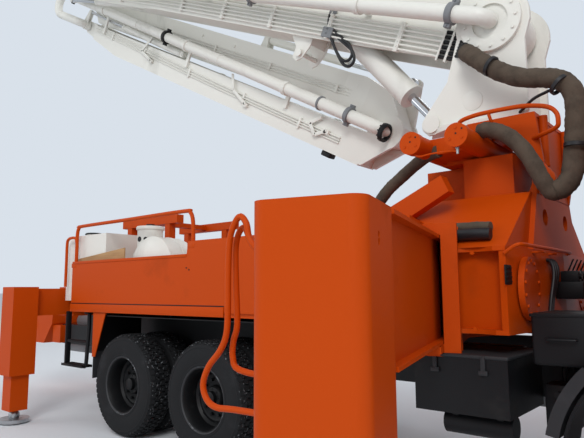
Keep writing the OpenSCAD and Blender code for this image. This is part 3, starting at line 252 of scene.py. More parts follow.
class Piece:
    """Collects shapes in a frame of their own into one object that rides on a CAD body."""

    def __init__(self, name, material, body="carrier", axes=RIGHT, slot=None):
        self.name, self.material, self.body, self.axes = name, material, body, axes
        self.slot = slot or SLOTS[material]
        self.mesh = bmesh.new()

    def soften(self, verts, width, segments=2):
        """Rounds every edge between the given vertices."""
        edges = list({e for v in verts for e in v.link_edges})
        bmesh.ops.bevel(self.mesh, geom=edges, offset=width, segments=segments, profile=0.5,
                        affect="EDGES", material=-1)

    def box(self, low, high, bevel=0.0, turn=None, segments=2):
        """A box between two corners, turned about its own middle, with rounded edges."""
        low, high = Vector(low), Vector(high)
        made = bmesh.ops.create_cube(self.mesh, size=1.0)["verts"]
        size = Matrix.Diagonal((*(high - low), 1))
        matrix = Matrix.Translation((low + high) / 2) @ (turn or Matrix()) @ size
        bmesh.ops.transform(self.mesh, matrix=matrix, verts=made)
        if bevel:
            self.soften(made, bevel, segments)

    def bar(self, start, end, radius, sides=16, end_radius=None):
        """A round bar or cone between two places."""
        start, end = Vector(start), Vector(end)
        turn = (end - start).to_track_quat("Z", "Y").to_matrix().to_4x4()
        bmesh.ops.create_cone(self.mesh, cap_ends=True, segments=sides, radius1=radius,
                              radius2=radius if end_radius is None else end_radius,
                              depth=(end - start).length, matrix=Matrix.Translation((start + end) / 2) @ turn)

    def bolts(self, places, axis, radius=0.012, height=0.01):
        """Hexagon bolt heads whose feet are at the given places."""
        axis = Vector(axis).normalized()
        for at in places:
            self.bar(Vector(at) - axis * 0.002, Vector(at) + axis * height, radius, 6)

    def bolt_ring(self, centre, axis, ring, count, radius=0.012, height=0.01):
        """Bolt heads evenly round a circle."""
        turn = Vector(axis).to_track_quat("Z", "Y").to_matrix()
        angles = (2 * math.pi * i / count for i in range(count))
        spokes = [turn @ Vector((ring * math.cos(a), ring * math.sin(a), 0)) for a in angles]
        self.bolts([Vector(centre) + spoke for spoke in spokes], axis, radius, height)

    def lathe(self, centre, axis, profile, sides=48, closed=False, sweep=(0.0, 360.0)):
        """Turns a profile of (radius, height) pairs round an axis, by whole or part of a turn."""
        axis = Vector(axis).normalized()
        out = axis.orthogonal().normalized()
        if abs(axis.z) < 0.5:
            out = axis.cross(Vector(UP)).normalized()
        out = Matrix.Rotation(math.radians(sweep[0]), 3, axis) @ out
        verts = [self.mesh.verts.new(Vector(centre) + out * r + axis * h) for r, h in profile]
        edges = [self.mesh.edges.new(pair) for pair in zip(verts, verts[1:])]
        if closed:
            edges.append(self.mesh.edges.new((verts[-1], verts[0])))
        turn = sweep[1] - sweep[0]
        bmesh.ops.spin(self.mesh, geom=verts + edges, cent=centre, axis=axis, dvec=(0, 0, 0),
                       angle=math.radians(turn), steps=sides, use_merge=turn >= 360, use_duplicate=False)

    def ring(self, centre, axis, outer, width, inner, sides=32):
        """A collar with a chamfered square section."""
        c, h = min(outer - inner, width) * 0.2, width / 2
        self.lathe(centre, axis, [(inner, -h), (outer - c, -h), (outer, -h + c), (outer, h - c),
                                  (outer - c, h), (inner, h)], sides, closed=True)

    def tube(self, points, radius, sides=10, steps=5, swell=0.0):
        """A closed round tube along a smooth curve, which it returns; swell folds a sleeve."""
        line = curve_through(points, steps)
        last = len(line) - 1
        aheads = [(line[min(i + 1, last)] - line[max(i - 1, 0)]).normalized() for i in range(last + 1)]
        turn = aheads[0].to_track_quat("Z", "Y").to_matrix().to_4x4()
        loop = bmesh.ops.create_circle(self.mesh, segments=sides, radius=radius,
                                       matrix=Matrix.Translation(line[0]) @ turn)["verts"]
        edges = list({e for v in loop for e in v.link_edges})
        first, size = edges, 1.0
        for i in range(1, len(line)):
            made = bmesh.ops.extrude_edge_only(self.mesh, edges=edges)["geom"]
            verts = [v for v in made if isinstance(v, bmesh.types.BMVert)]
            fresh = set(verts)
            edges = [e for e in made if isinstance(e, bmesh.types.BMEdge) and set(e.verts) <= fresh]
            wanted = 1 + swell * math.sin(i * 2.1) * math.cos(i * 0.9)
            bend = aheads[i - 1].rotation_difference(aheads[i]).to_matrix().to_4x4()
            bmesh.ops.transform(self.mesh, verts=verts, matrix=Matrix.Translation(line[i]) @ bend
                                @ Matrix.Scale(wanted / size, 4) @ Matrix.Translation(-line[i - 1]))
            size = wanted
        for rim in (first, edges):
            bmesh.ops.edgeloop_fill(self.mesh, edges=rim)
        return line

    def prism(self, outline, offset, bevel=0.0):
        """A flat outline of places made thick along a vector."""
        face = self.mesh.faces.new([self.mesh.verts.new(p) for p in outline])
        low = list(face.verts)
        made = bmesh.ops.extrude_face_region(self.mesh, geom=[face])["geom"]
        high = [v for v in made if isinstance(v, bmesh.types.BMVert)]
        bmesh.ops.translate(self.mesh, verts=high, vec=offset)
        if bevel:
            self.soften(low + high, bevel)

    def plate(self, outline, y, thick, bevel=0.0):
        """A plate that stands along the truck or an arm: outline of (x, z) pairs at a place y."""
        self.prism(upright(y, outline), (0, thick, 0), bevel)

    def done(self, sharp=35):
        """Turns the shapes into an object and makes it ride on its body."""
        bmesh.ops.remove_doubles(self.mesh, verts=self.mesh.verts, dist=0.00002)
        bmesh.ops.transform(self.mesh, matrix=self.axes, verts=self.mesh.verts)
        bmesh.ops.recalc_face_normals(self.mesh, faces=self.mesh.faces)
        data = bpy.data.meshes.new(self.name)
        self.mesh.to_mesh(data)
        self.mesh.free()
        data.materials.append(MATERIALS[self.material])
        data.shade_smooth()
        data.set_sharp_from_angle(angle=math.radians(sharp))
        thing = bpy.data.objects.new(self.name, data)
        bpy.context.scene.collection.objects.link(thing)
        if self.body:
            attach(thing, self.body)
        return thing


def hose(name, material, body, points, radius, axes=RIGHT, sides=10, steps=4, swell=0.0):
    """A free hose between two places on the truck, built at its real length and thickness."""
    piece = Piece(name, material, body, axes)
    line = [axes @ p for p in piece.tube(points, radius, sides, steps, swell)]
    thing = piece.done(80)


# ---- Settings ----

def distance(name, description, default, low, high):
    """A length that the panel shows in the scene's units."""
    return FloatProperty(name=name, description=description, default=default, min=low, max=high,
                         unit="LENGTH", subtype="DISTANCE")


class WheelSettings(bpy.types.PropertyGroup):
    lugs: IntProperty(name="Tread Blocks", description="Blocks in one row round a tyre",
                      default=56, min=24, max=90)
    groove: distance("Groove Depth", "Depth of the tread's grooves", 0.016, 0.004, 0.03)


class BoomSettings(bpy.types.PropertyGroup):
    lines: IntProperty(name="Oil Lines", description="Painted oil tubes beside the first arm",
                       default=6, min=2, max=8)
    line_radius: distance("Line Radius", "Outer radius of an oil tube", 0.011, 0.005, 0.02)
    sleeve_radius: distance("Sleeve Radius", "Radius of the front hose bundle", 0.074, 0.03, 0.085)


class CarrierSettings(bpy.types.PropertyGroup):
    hose_radius: distance("Leg Hose Radius", "Radius of the hoses on a front leg", 0.016, 0.01, 0.04)
    rail_radius: distance("Rail Radius", "Radius of the railing's tube", 0.021, 0.01, 0.03)


class StageSettings(bpy.types.PropertyGroup):
    eye: FloatVectorProperty(name="Camera Place", description="Camera place, forward of the rearmost axle",
                             default=(5.39, -4.79, 1.55), size=3, unit="LENGTH", subtype="TRANSLATION")
    lens: FloatProperty(name="Lens", description="Focal length on a 36 mm wide film",
                        default=34.5, min=20, max=80)
    sky: FloatProperty(name="Sky", description="Strength of the even sky light", default=0.62, min=0.1, max=3)


# ---- Paint ----

class PUMP_OT_finishes(bpy.types.Operator):
    """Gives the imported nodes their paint, glass and metal"""
    bl_idname = "pump.finishes"
    bl_label = "Finishes"

    def execute(self, context):
        MATERIALS.update(make_materials())
        for key, names in NODE_MATERIAL.items():
            for name in names:
                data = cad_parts[name].data
                data.materials.clear()
                data.materials.append(MATERIALS[key])
        for side in SIDES:
            for end, foot_top in (("front", 0.19), ("rear", 0.149)):
                two_tone(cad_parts[f"{end}_jack_{side}"], foot_top)
            glaze_door(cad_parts[f"door_{side}"])
        return {"FINISHED"}


def two_tone(thing, height):
    """Paints a jack orange and leaves its foot bare steel below a height."""
    data = thing.data
    data.materials.clear()
    for key in ("orange", "steel"):
        data.materials.append(MATERIALS[key])
    for face in data.polygons:
        face.material_index = int(face.center.z < height)


def glaze_door(thing):
    """Gives a door's pane glass and its handle plastic, by their place across the truck."""
    pane, handle = (1.16, 1.172), 1.191
    data = thing.data
    for key in ("glass", "trim"):
        data.materials.append(MATERIALS[key])
    for face in data.polygons:
        y = abs(face.center.y)
        if pane[0] < y < pane[1] and abs(face.normal.y) > 0.9:
            face.material_index = 1
        elif y > handle:
            face.material_index = 2


# ---- Wheels ----

# Sizes of a wheel, and the places of the axles forward of the rearmost one
TYRE_RADIUS = 0.54
TYRE_WIDTH = 0.29
WHEEL_FACE = -1.24
TWIN_STEP = 0.35
AXLES = {"front": 5.1, "mid": 1.3, "rear": 0.0}
# How far a rim's disc stands in from the tyre's face, on the front and outer twin wheels
FRONT_DISH, TWIN_DISH = 0.07, 0.19


class PUMP_OT_wheels(bpy.types.Operator):
    """Builds treaded tyres, dished rims and hubs in place of the plain wheels"""
    bl_idname = "pump.wheels"
    bl_label = "Wheels"

    def execute(self, context):
        for row, x in AXLES.items():
            for side, axes in SIDES.items():
                self.wheel(f"{row}_{side}", x, axes, row != "front", context.scene.pump_wheels)
        return {"FINISHED"}

    def wheel(self, name, x, axes, twin, settings):
        """One wheel, or one pair of twins with a shared hub."""
        node = f"wheel_{name}"
        tyre = Piece(f"tyre_{name}", "rubber", node, axes)
        tread = Piece(f"tread_{name}", "tread", node, axes)
        edge = Piece(f"rim_edge_{name}", "rim_edge", node, axes)
        # The rim, hub and wheel nuts take the rim paint, which carries painted shade
        rim = Piece(f"rim_{name}", "rim", node, axes)
        for inset in (0.0, TWIN_STEP) if twin else (0.0,):
            centre = Vector((x, WHEEL_FACE + inset, TYRE_RADIUS))
            build_tyre(tyre, centre, settings.groove)
            build_tread(tread, centre, settings)
            edge.lathe(centre, ACROSS, [(0.29, 0.018), (0.296, 0.006), (0.303, 0.004), (0.306, 0.009)], 64)
            build_rim(rim, centre, TWIN_DISH if twin and not inset else FRONT_DISH)
        disc = Vector((x, WHEEL_FACE + (TWIN_DISH if twin else FRONT_DISH), TYRE_RADIUS))
        rim.lathe(disc, OUTWARD, [(0, 0.1), (0.05, 0.1), (0.062, 0.092), (0.066, 0.055), (0.098, 0.048),
                                  (0.108, 0.036), (0.116, -0.002)], 36)
        rim.bolt_ring(disc, OUTWARD, 0.165, 10, 0.016, 0.028)
        rim.bolt_ring(disc - Vector((0, 0.048, 0)), OUTWARD, 0.082, 8, 0.008, 0.008)
        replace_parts(tyre.done(30), node)
        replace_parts(tread.done(30), node)
        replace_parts(edge.done(50), node)
        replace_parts(rim.done(), node)


def build_tyre(piece, centre, groove):
    """The carcass of one tyre, with its bead, side ribs and shoulders."""
    floor = TYRE_RADIUS - groove
    half = [(0.296, 0.022), (0.302, 0.01), (0.322, 0.006), (0.33, 0.009), (0.362, 0.001), (0.425, 0.0),
            (0.47, 0.006), (0.476, 0.003), (0.492, 0.01), (floor - 0.012, 0.022), (floor, 0.045)]
    piece.lathe(centre, ACROSS, half + [(r, TYRE_WIDTH - t) for r, t in reversed(half)], 72)


def build_tread(piece, centre, settings):
    """The grooves' floor and the staggered rows of blocks on one tyre's crown."""
    floor, crown, count = TYRE_RADIUS - settings.groove, TYRE_RADIUS - 0.001, settings.lugs
    piece.lathe(centre, ACROSS, [(floor - 0.008, 0.024), (floor + 0.001, 0.046), (floor + 0.001, 0.244),
                                 (floor - 0.008, 0.266)], 72)
    width = 2 * math.pi * TYRE_RADIUS / count * 0.74
    # Each row: its two edges across the tyre, its shift in blocks, and how far its crown drops at each edge
    for low, high, shift, drop_low, drop_high in ((0.014, 0.058, 0.0, 0.026, 0.003),
                                                  (0.067, 0.109, 0.5, 0.0, 0.0),
                                                  (0.119, 0.171, 0.0, 0.0, 0.0),
                                                  (0.181, 0.223, 0.5, 0.0, 0.0),
                                                  (0.232, 0.276, 0.0, 0.003, 0.026)):
        made = bmesh.ops.create_cube(piece.mesh, size=1.0)["verts"]
        for v in made:
            top, far = v.co.z > 0, v.co.y > 0
            v.co = (v.co.x * width * (0.92 if top else 1.06), high if far else low,
                    crown - (drop_high if far else drop_low) if top else floor - 0.03)
        start = Matrix.Rotation(2 * math.pi * shift / count, 4, "Y")
        bmesh.ops.transform(piece.mesh, matrix=Matrix.Translation(centre) @ start, verts=made)
        block = [*made, *{e for v in made for e in v.link_edges}, *{f for v in made for f in v.link_faces}]
        bmesh.ops.spin(piece.mesh, geom=block, cent=centre, axis=ACROSS, dvec=(0, 0, 0), steps=count - 1,
                       angle=2 * math.pi * (count - 1) / count, use_merge=False, use_duplicate=True)


def build_rim(piece, centre, dish):
    """One dished rim with its flanges, and the dark hand holes round its disc."""
    profile = [(0.1, dish), (0.198, dish), (0.214, dish - 0.01), (0.24, dish - 0.004), (0.262, dish - 0.026),
               (0.266, 0.052), (0.284, 0.018), (0.3, 0.012), (0.303, 0.017), (0.303, 0.273), (0.286, 0.272),
               (0.268, 0.24), (0.262, dish + 0.05), (0.235, dish + 0.014), (0.1, dish + 0.014)]
    piece.lathe(centre, ACROSS, profile, 64, closed=True)
    for a in (2 * math.pi * i / 8 for i in range(8)):
        at = centre + Vector((0.232 * math.cos(a), dish - 0.004, 0.232 * math.sin(a)))
        piece.bar(at, at - Vector((0, 0.004, 0)), 0.02, 16, 0.017)


# ---- Boom ----

# Inner radius of a collar that grips the delivery pipe
PIPE_RADIUS = 0.0715


class PUMP_OT_boom(bpy.types.Operator):
    """Adds the oil lines, clamps, pipe couplings and brackets of the boom"""
    bl_idname = "pump.boom"
    bl_label = "Boom Lines"

    def execute(self, context):
        settings = context.scene.pump_boom
        self.first_arm(settings)
        self.other_arms(settings)
        self.couplings()
        self.hangers()
        return {"FINISHED"}

    def first_arm(self, settings):
        """The first arm's oil lines with their combs and fittings, and the lift cylinder's hoses."""
        lines = Piece("arm_1_oil_lines", "cream", "arm_1", ARM_1)
        # Places across the truck: the arm's near face, the lines on its deep and its slim part,
        # and the faces of the combs there
        web, deep, slim, comb, slim_comb = -0.211, -0.236, -0.16, -0.253, -0.178
        ns = [-0.115 - i * 0.045 for i in range(settings.lines)]
        top, bottom = ns[0], ns[-1]
        for n in ns:
            lines.tube([(0.4, deep, n), (2.5, deep, n), (5.1, deep, n - 0.01), (5.75, slim, n - 0.01),
                        (7.6, slim, n - 0.01)], settings.line_radius, 8, 4)
        for s in (0.85, 1.75, 2.65, 3.55, 4.45):
            lines.box((s, comb, bottom - 0.03), (s + 0.05, web, top + 0.03), 0.006)
            lines.bolts([(s + 0.025, comb, (a + b) / 2) for a, b in zip(ns, ns[1:])], OUTWARD, 0.008, 0.007)
        for s in (6.2, 7.2):
            lines.box((s, slim_comb, bottom - 0.04), (s + 0.05, -0.121, top + 0.02), 0.006)
        for s, thick in ((0.31, 0.025), (0.4, 0.02)):
            lines.box((s, comb + 0.002, bottom - 0.04), (s + thick, web, top + 0.04), 0.004)
        lines.done()
        fittings = Piece("arm_1_fittings", "black", "arm_1", ARM_1)
        for n in ns:
            fittings.bar((0.3, -0.232, n), (0.4, -0.232, n), 0.017, 6)
            middle = n * 0.45 - 0.298 * 0.55
            fittings.tube([(0.31, -0.234, n), (0.26, -0.24, n), (0.19, -0.29, middle),
                           (0.12, -0.345, middle - 0.01), (0.05, -0.395, n * 0.2 - 0.25)], 0.019, 8, 3)
        fittings.done()
        for name, shift in (("lift_cylinder_hose_near", 0.0), ("lift_cylinder_hose_far", 0.045)):
            hose(name, "hose", "arm_1", [(s + shift, -0.228 - shift / 9, n + shift) for s, n in (
                (1.76, -0.11), (1.78, -0.19), (1.72, -0.33), (1.58, -0.479), (1.44, -0.585), (1.35, -0.59),
                (1.32, -0.523), (1.38, -0.44), (1.49, -0.39), (1.61, -0.34), (1.7, -0.3))], 0.016, ARM_1, 8)
        valve = Piece("lift_cylinder_valve", "grey", "arm_1", ARM_1)
        valve.box((1.7, -0.26, -0.36), (1.84, web, -0.25), 0.008)
        valve.bar((1.76, -0.245, -0.06), (1.76, -0.245, -0.11), 0.022, 6)
        valve.bar((1.82, -0.235, -0.11), (1.82, -0.235, -0.06), 0.02, 6)
        valve.done()

    def other_arms(self, settings):
        """Thin oil lines on the second and third arm, with clips and bolts, and the work lamp."""
        thin = settings.line_radius * 0.8
        # The near face of each arm across the truck, and the line plane just off it
        face, plane = 0.4305, 0.418
        second = Piece("arm_2_oil_lines", "cream", "arm_2", ARM_2)
        for n in (-0.19, -0.225, -0.26):
            second.tube([(s, plane, n) for s in (0.9, 2.9, 6.8)], thin, 8, 3)
        for s in (1.3, 2.5, 3.8, 5.0, 6.2):
            second.box((s, 0.405, -0.275), (s + 0.035, face, -0.175), 0.003)
        second.lathe((6.55, face, -0.127), OUTWARD,
                     [(0.0, 0.03), (0.05, 0.03), (0.056, 0.024), (0.056, 0.0)], 24)
        second.bolts([(3.42, face, -0.107), (4.19, face, -0.115)], OUTWARD, 0.02, 0.014)
        second.done()
        face, plane = 0.3305, 0.318
        third = Piece("arm_3_oil_lines", "cream", "arm_3", ARM_3)
        for i in range(3):
            third.tube([(6.67, plane, -0.1 - i * 0.045), (2.9, plane, -0.215 - i * 0.035),
                        (0.55, plane, -0.255 - i * 0.03)], thin, 8, 4)
        for s, n in ((1.2, -0.255), (2.3, -0.24), (3.6, -0.215), (4.9, -0.175), (6.0, -0.14)):
            third.box((s, 0.305, n - 0.09), (s + 0.035, face, n + 0.045), 0.003)
        third.done()
        work_lamp = Piece("arm_3_work_lamp", "black", "arm_3", ARM_3)
        work_lamp.box((0.62, 0.345, -0.52), (0.76, 0.465, -0.4575), 0.015, segments=3)
        work_lamp.box((0.66, 0.38, -0.462), (0.72, 0.43, -0.4565), 0.002)
        work_lamp.done()

    def couplings(self):
        """Clamp couplings with their ears, and thin joint rings on the delivery pipes."""
        rise, fall = math.tan(math.radians(1.8)), -0.25 / 8.15
        # name, material, body, axes, y, slope, then (s, outer radius, width) of each clamp
        for name, key, body, axes, y, slope, clamps in (
                ("pipe_3_dark_collars", "black", "arm_3", ARM_3, 0.215, rise,
                 ((4.29, 0.099, 0.06), (7.6, 0.092, 0.055))),
                ("pipe_3_clamps", "grey", "arm_3", ARM_3, 0.215, rise,
                 ((0.47, 0.094, 0.055), (0.92, 0.084, 0.03))),
                ("pipe_3_joint_rings", "cream", "arm_3", ARM_3, 0.215, rise,
                 ((2.89, 0.079, 0.02), (5.14, 0.079, 0.02), (6.6, 0.079, 0.02))),
                ("pipe_1_clamps", "grey", "arm_1", ARM_1, -0.42, fall,
                 ((0.31, 0.096, 0.06), (2.9, 0.092, 0.05), (5.6, 0.092, 0.05), (7.9, 0.092, 0.05)))):
            piece = Piece(name, key, body, axes)
            for s, outer, width in clamps:
                n = s * slope
                piece.ring((s, y, n), (1, 0, slope), outer, width, PIPE_RADIUS)
                # A wide clamp has an ear with a cross bolt above and below
                for sign in (-1, 1) if width > 0.04 else ():
                    ear, bolt = n + sign * (outer + 0.01), n + sign * (outer + 0.012)
                    piece.box((s - width / 2, y - 0.022, ear - 0.018),
                              (s + width / 2, y + 0.022, ear + 0.018), 0.004)
                    piece.bar((s, y - 0.034, bolt), (s, y + 0.034, bolt), 0.009, 6)
            piece.done()
        toothed = Piece("pipe_3_toothed_ring", "black", "arm_3", ARM_3)
        toothed.ring((-0.05, 0.215, -0.02), AHEAD, 0.1, 0.05, 0.0735)
        toothed.bolt_ring((-0.025, 0.215, -0.02), AHEAD, 0.088, 10, 0.008, 0.014)
        toothed.done()

    def hangers(self):
        """Bent straps that carry the third pipe from the third arm, and the first arm's rest fork."""
        straps = Piece("pipe_3_hangers", "cream", "arm_3", ARM_3)
        near = 0.288
        for points in (((0.9, -0.112), (1.04, -0.227), (0.91, -0.333), (0.76, -0.242)),
                       ((2.65, -0.026), (2.54, -0.215), (2.22, -0.327)),
                       ((4.8, 0.06), (4.99, -0.206), (4.65, -0.286))):
            for a, b in zip(points, points[1:]):
                tilt = Matrix.Rotation(-math.atan2(b[1] - a[1], b[0] - a[0]), 4, "Y")
                s, n, half = (a[0] + b[0]) / 2, (a[1] + b[1]) / 2, math.dist(a, b) / 2
                straps.box((s - half, near, n - 0.022), (s + half, near + 0.008, n + 0.022), 0.002, tilt)
            straps.bolts([(s, near, n) for s, n in points], OUTWARD, 0.012, 0.008)
            s, n = points[-1]
            straps.box((s - 0.04, near, n - 0.035), (s + 0.04, 0.3295, n + 0.015), 0.004)
        straps.done()
        fork = Piece("arm_1_rest_fork", "cream", "arm_1", ARM_1)
        for y in (-0.15, 0.135):
            fork.plate([(2.36, -0.3), (2.03, -0.3), (2.04, -0.46), (2.1, -0.6), (2.17, -0.65), (2.25, -0.62),
                        (2.24, -0.5), (2.34, -0.4)], y, 0.015, 0.003)
        fork.box((2.06, -0.14, -0.44), (2.075, 0.14, -0.3), 0.003)
        fork.bar((2.15, -0.17, -0.56), (2.15, 0.17, -0.56), 0.026, 20)
        fork.bar((2.15, -0.185, -0.56), (2.15, -0.165, -0.56), 0.04, 20)
        fork.done()


class PUMP_OT_hoses(bpy.types.Operator):
    """Adds the sleeved hose bundles that hang from the first arm's root past the slewing tower"""
    bl_idname = "pump.hoses"
    bl_label = "Sleeved Hoses"

    def execute(self, context):
        r = context.scene.pump_boom.sleeve_radius
        path = [(3.63, -0.4, 3.52), (3.7, -0.46, 3.45), (3.82, -0.49, 3.335), (3.946, -0.49, 3.235),
                (4.094, -0.49, 3.155), (4.237, -0.49, 3.117), (4.352, -0.49, 3.075), (4.43, -0.49, 2.99),
                (4.455, -0.49, 2.87), (4.446, -0.49, 2.73), (4.434, -0.49, 2.6), (4.416, -0.49, 2.466),
                (4.395, -0.5, 2.345), (4.345, -0.52, 2.27), (4.285, -0.54, 2.245)]
        front = self.bundle("hose_bundle_front", None, path, r)
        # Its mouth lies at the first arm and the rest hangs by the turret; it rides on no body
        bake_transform(front)
        self.bundle("hose_bundle_low", "carrier", [
            (4.335, -0.53, 2.255), (4.275, -0.55, 2.235), (4.225, -0.58, 2.315), (4.165, -0.6, 2.46),
            (4.083, -0.6, 2.6), (3.976, -0.6, 2.71), (3.85, -0.585, 2.77), (3.78, -0.56, 2.775)], r * 0.82)
        hose("hose_bundle_rear", "sleeve", "carrier", [
            (2.5, -0.46, 1.41), (2.52, -0.46, 1.62), (2.6, -0.46, 1.95), (2.72, -0.48, 2.2),
            (2.8, -0.5, 2.31), (2.92, -0.52, 2.42), (3.02, -0.53, 2.486), (3.21, -0.55, 2.6),
            (3.342, -0.58, 2.65), (3.45, -0.62, 2.66)], r * 0.7, RIGHT, 16, 6, 0.04)
        ties = Piece("hose_bundle_ties", "hose", "turret", slot="black_paint")
        for at, along in (((3.87, -0.52, 3.297), (0.9, 0, -0.65)), ((4.36, -0.52, 3.025), (0.7, 0, -0.7)),
                          ((4.443, -0.52, 2.56), (0.1, 0, 1))):
            ties.ring(at, along, r + 0.008, 0.03, r - 0.006)
        ties.done()
        whip = Piece("sensor_hose", "hose", "turret")
        whip.tube([(4.0, -0.29, 2.95), (4.134, -0.4, 2.996), (4.24, -0.43, 3.02), (4.33, -0.46, 3.03)],
                  0.012, 8, 4)
        whip.done(80)
        return {"FINISHED"}

    def bundle(self, name, body, path, radius):
        """A sleeved bundle, built as one thick tube with folds."""
        piece = Piece(name, "sleeve", body)
        piece.tube(path, radius, 16, 6, 0.05)
        return piece.done(80)


# ---- Legs and pedestal ----

class PUMP_OT_legs(bpy.types.Operator):
    """Adds hoses and their unions to the legs, and the small gear of the pedestal and the tower"""
    bl_idname = "pump.legs"
    bl_label = "Legs and Pedestal"

    def execute(self, context):
        r = context.scene.pump_carrier.hose_radius
        for side, axes in SIDES.items():
            hose(f"leg_hose_long_{side}", "orange", f"front_leg_{side}", upright(-2.86, [
                (3.668, 1.725), (3.56, 1.74), (3.5, 1.8), (3.48, 1.87), (3.44, 1.91), (3.4, 1.88),
                (3.365, 1.8), (3.355, 1.65), (3.355, 1.45), (3.345, 1.33), (3.3, 1.25), (3.22, 1.17),
                (3.18, 1.08), (3.21, 1.01), (3.28, 0.98), (3.4, 0.985), (3.668, 0.99)]), r, axes)
            hose(f"leg_hose_short_{side}", "orange", f"front_leg_{side}", [
                (3.652, -2.78, 1.68), (3.54, -2.79, 1.7), (3.45, -2.8, 1.8), (3.41, -2.8, 1.86),
                (3.37, -2.8, 1.84), (3.345, -2.8, 1.76), (3.35, -2.8, 1.58), (3.36, -2.8, 1.38),
                (3.335, -2.8, 1.3), (3.33, -2.8, 1.22), (3.38, -2.8, 1.16), (3.652, -2.79, 1.14)], r, axes)
            unions = Piece(f"leg_hose_unions_{side}", "steel", f"front_leg_{side}", axes)
            for x, y, z in ((3.655, -2.86, 1.722), (3.635, -2.783, 1.668),
                            (3.655, -2.86, 0.99), (3.635, -2.788, 1.14)):
                unions.bar((x - 0.035, y, z), (x + 0.04, y, z), r + 0.009, 6)
            unions.done()
        self.pedestal()
        self.tower()
        return {"FINISHED"}

    def pedestal(self):
        """The front leg box's handrail, vent, valve row, stowed rolls, hanging hoses and bolts."""
        rail = Piece("pedestal_handrail", "orange")
        rail.tube([(4.1, -1.1, 1.78), (4.16, -1.1, 1.82), (4.2, -1.08, 1.835), (4.21, -0.9, 1.835),
                   (4.21, -0.1, 1.835), (4.2, 0.13, 1.835), (4.16, 0.15, 1.82), (4.1, 0.15, 1.78)],
                  0.013, 8, 4)
        for y in (-0.62, -0.3):
            rail.box((4.1, y - 0.02, 1.8), (4.215, y + 0.02, 1.812), 0.003)
        rail.done()
        vent = Piece("pedestal_vent", "black")
        vent.box((4.1, -1.118, 1.575), (4.11, -1.0, 1.705), 0.003)
        for z in (1.6, 1.63, 1.66, 1.69):
            vent.box((4.108, -1.108, z - 0.008), (4.116, -1.01, z), 0.002)
        vent.box((4.139, -0.22, 1.47), (4.36, 0.4, 1.6), 0.01)
        for y in (-0.17, -0.05, 0.07, 0.19, 0.31):
            vent.box((4.2, y - 0.035, 1.595), (4.33, y + 0.035, 1.68), 0.006)
            vent.bar((4.33, y, 1.64), (4.345, y, 1.64), 0.022, 12)
            vent.bar((4.25, y, 1.68), (4.29, y + 0.01, 1.77), 0.006, 8)
        vent.done()
        sleeve = Piece("stowed_hose_sleeve", "sleeve")
        sleeve.tube([(3.66, -0.935, 1.985), (3.8, -0.931, 1.985), (3.88, -0.933, 1.983),
                     (3.96, -0.94, 1.975)], 0.038, 12, 4, 0.06)
        sleeve.done(80)
        stowed = Piece("stowed_hose", "hose")
        stowed.tube([(3.64, -1.024, 1.922), (3.8, -1.026, 1.924), (3.9, -1.028, 1.924), (3.99, -1.024, 1.92)],
                    0.042, 14, 3)
        stowed.done(80)
        for i, dy in enumerate((0.0, 0.05, 0.1)):
            hose(f"pedestal_hose_{i + 1}", "hose", "carrier", [
                (4.105, -0.26 - dy, 1.76), (4.18, -0.27 - dy, 1.75), (4.21, -0.3 - dy, 1.66),
                (4.2, -0.42 - dy / 2, 1.48), (4.2, -0.5 - dy / 2, 1.34), (4.16, -0.5 - dy / 2, 1.24),
                (4.105, -0.5 - dy / 2, 1.22)], 0.014, sides=8)
        for side, axes in SIDES.items():
            rows = Piece(f"pedestal_bolts_{side}", "orange", axes=axes)
            rows.bolts([(x, -1.1315, z) for x in (3.1, 3.3, 3.5, 3.7, 3.9) for z in (1.285, 1.79)],
                       OUTWARD, 0.016, 0.012)
            rows.done()

    def tower(self):
        """The slewing tower's hoop, its cylinders' unions, pipe and screws, and the turret's covers."""
        hoop = Piece("tower_hoop", "orange")
        hoop.tube([(3.6, -0.5, 2.84), (3.63, -0.6, 2.872), (3.74, -0.62, 2.892), (3.868, -0.62, 2.898),
                   (4.02, -0.62, 2.896), (4.153, -0.62, 2.886), (4.29, -0.62, 2.85), (4.35, -0.62, 2.796),
                   (4.362, -0.62, 2.727), (4.34, -0.6, 2.69), (4.22, -0.5, 2.685), (4.13, -0.42, 2.685)],
                  0.017, 10, 4)
        hoop.tube([(3.867, -0.62, 2.893), (3.88, -0.6, 2.83), (3.896, -0.52, 2.79), (3.9, -0.42, 2.785)],
                  0.013, 8, 3)
        hoop.plate([(4.13, 2.49), (4.18, 2.5), (4.26, 2.4), (4.27, 2.34), (4.22, 2.33), (4.13, 2.37)],
                   -0.415, 0.03, 0.003)
        hoop.done()
        unions = Piece("slew_cylinder_unions", "steel")
        unions.bar((3.705, -0.845, 2.63), (3.705, -0.845, 2.595), 0.016, 6)
        unions.bar((3.705, -0.845, 2.6), (3.705, -0.845, 2.555), 0.011, 12)
        unions.done()
        pipe = Piece("slew_cylinder_pipe", "orange")
        pipe.tube(upright(-0.845, [(3.705, 2.575), (3.64, 2.585), (3.5, 2.59), (3.38, 2.585), (3.33, 2.63)]),
                  0.007, 8, 4)
        pipe.done()
        screws = Piece("slew_cylinder_screws", "black")
        for x in (3.33, 3.71):
            screws.bolts([(x - 0.05, -0.8795, 2.672), (x, -0.8795, 2.705), (x + 0.048, -0.8795, 2.735)],
                         OUTWARD, 0.008, 0.002)
        screws.done()
        cover = Piece("turret_hole_cover", "cream", "turret")
        for y, way in ((-0.2895, -1), (0.2895, 1)):
            cover.lathe((3.622, y, 3.133), (0, way, 0),
                        [(0.086, 0.0), (0.086, 0.004), (0.082, 0.006), (0, 0.006)], 40)
        cover.done()


# ---- Deck, tanks and hopper ----

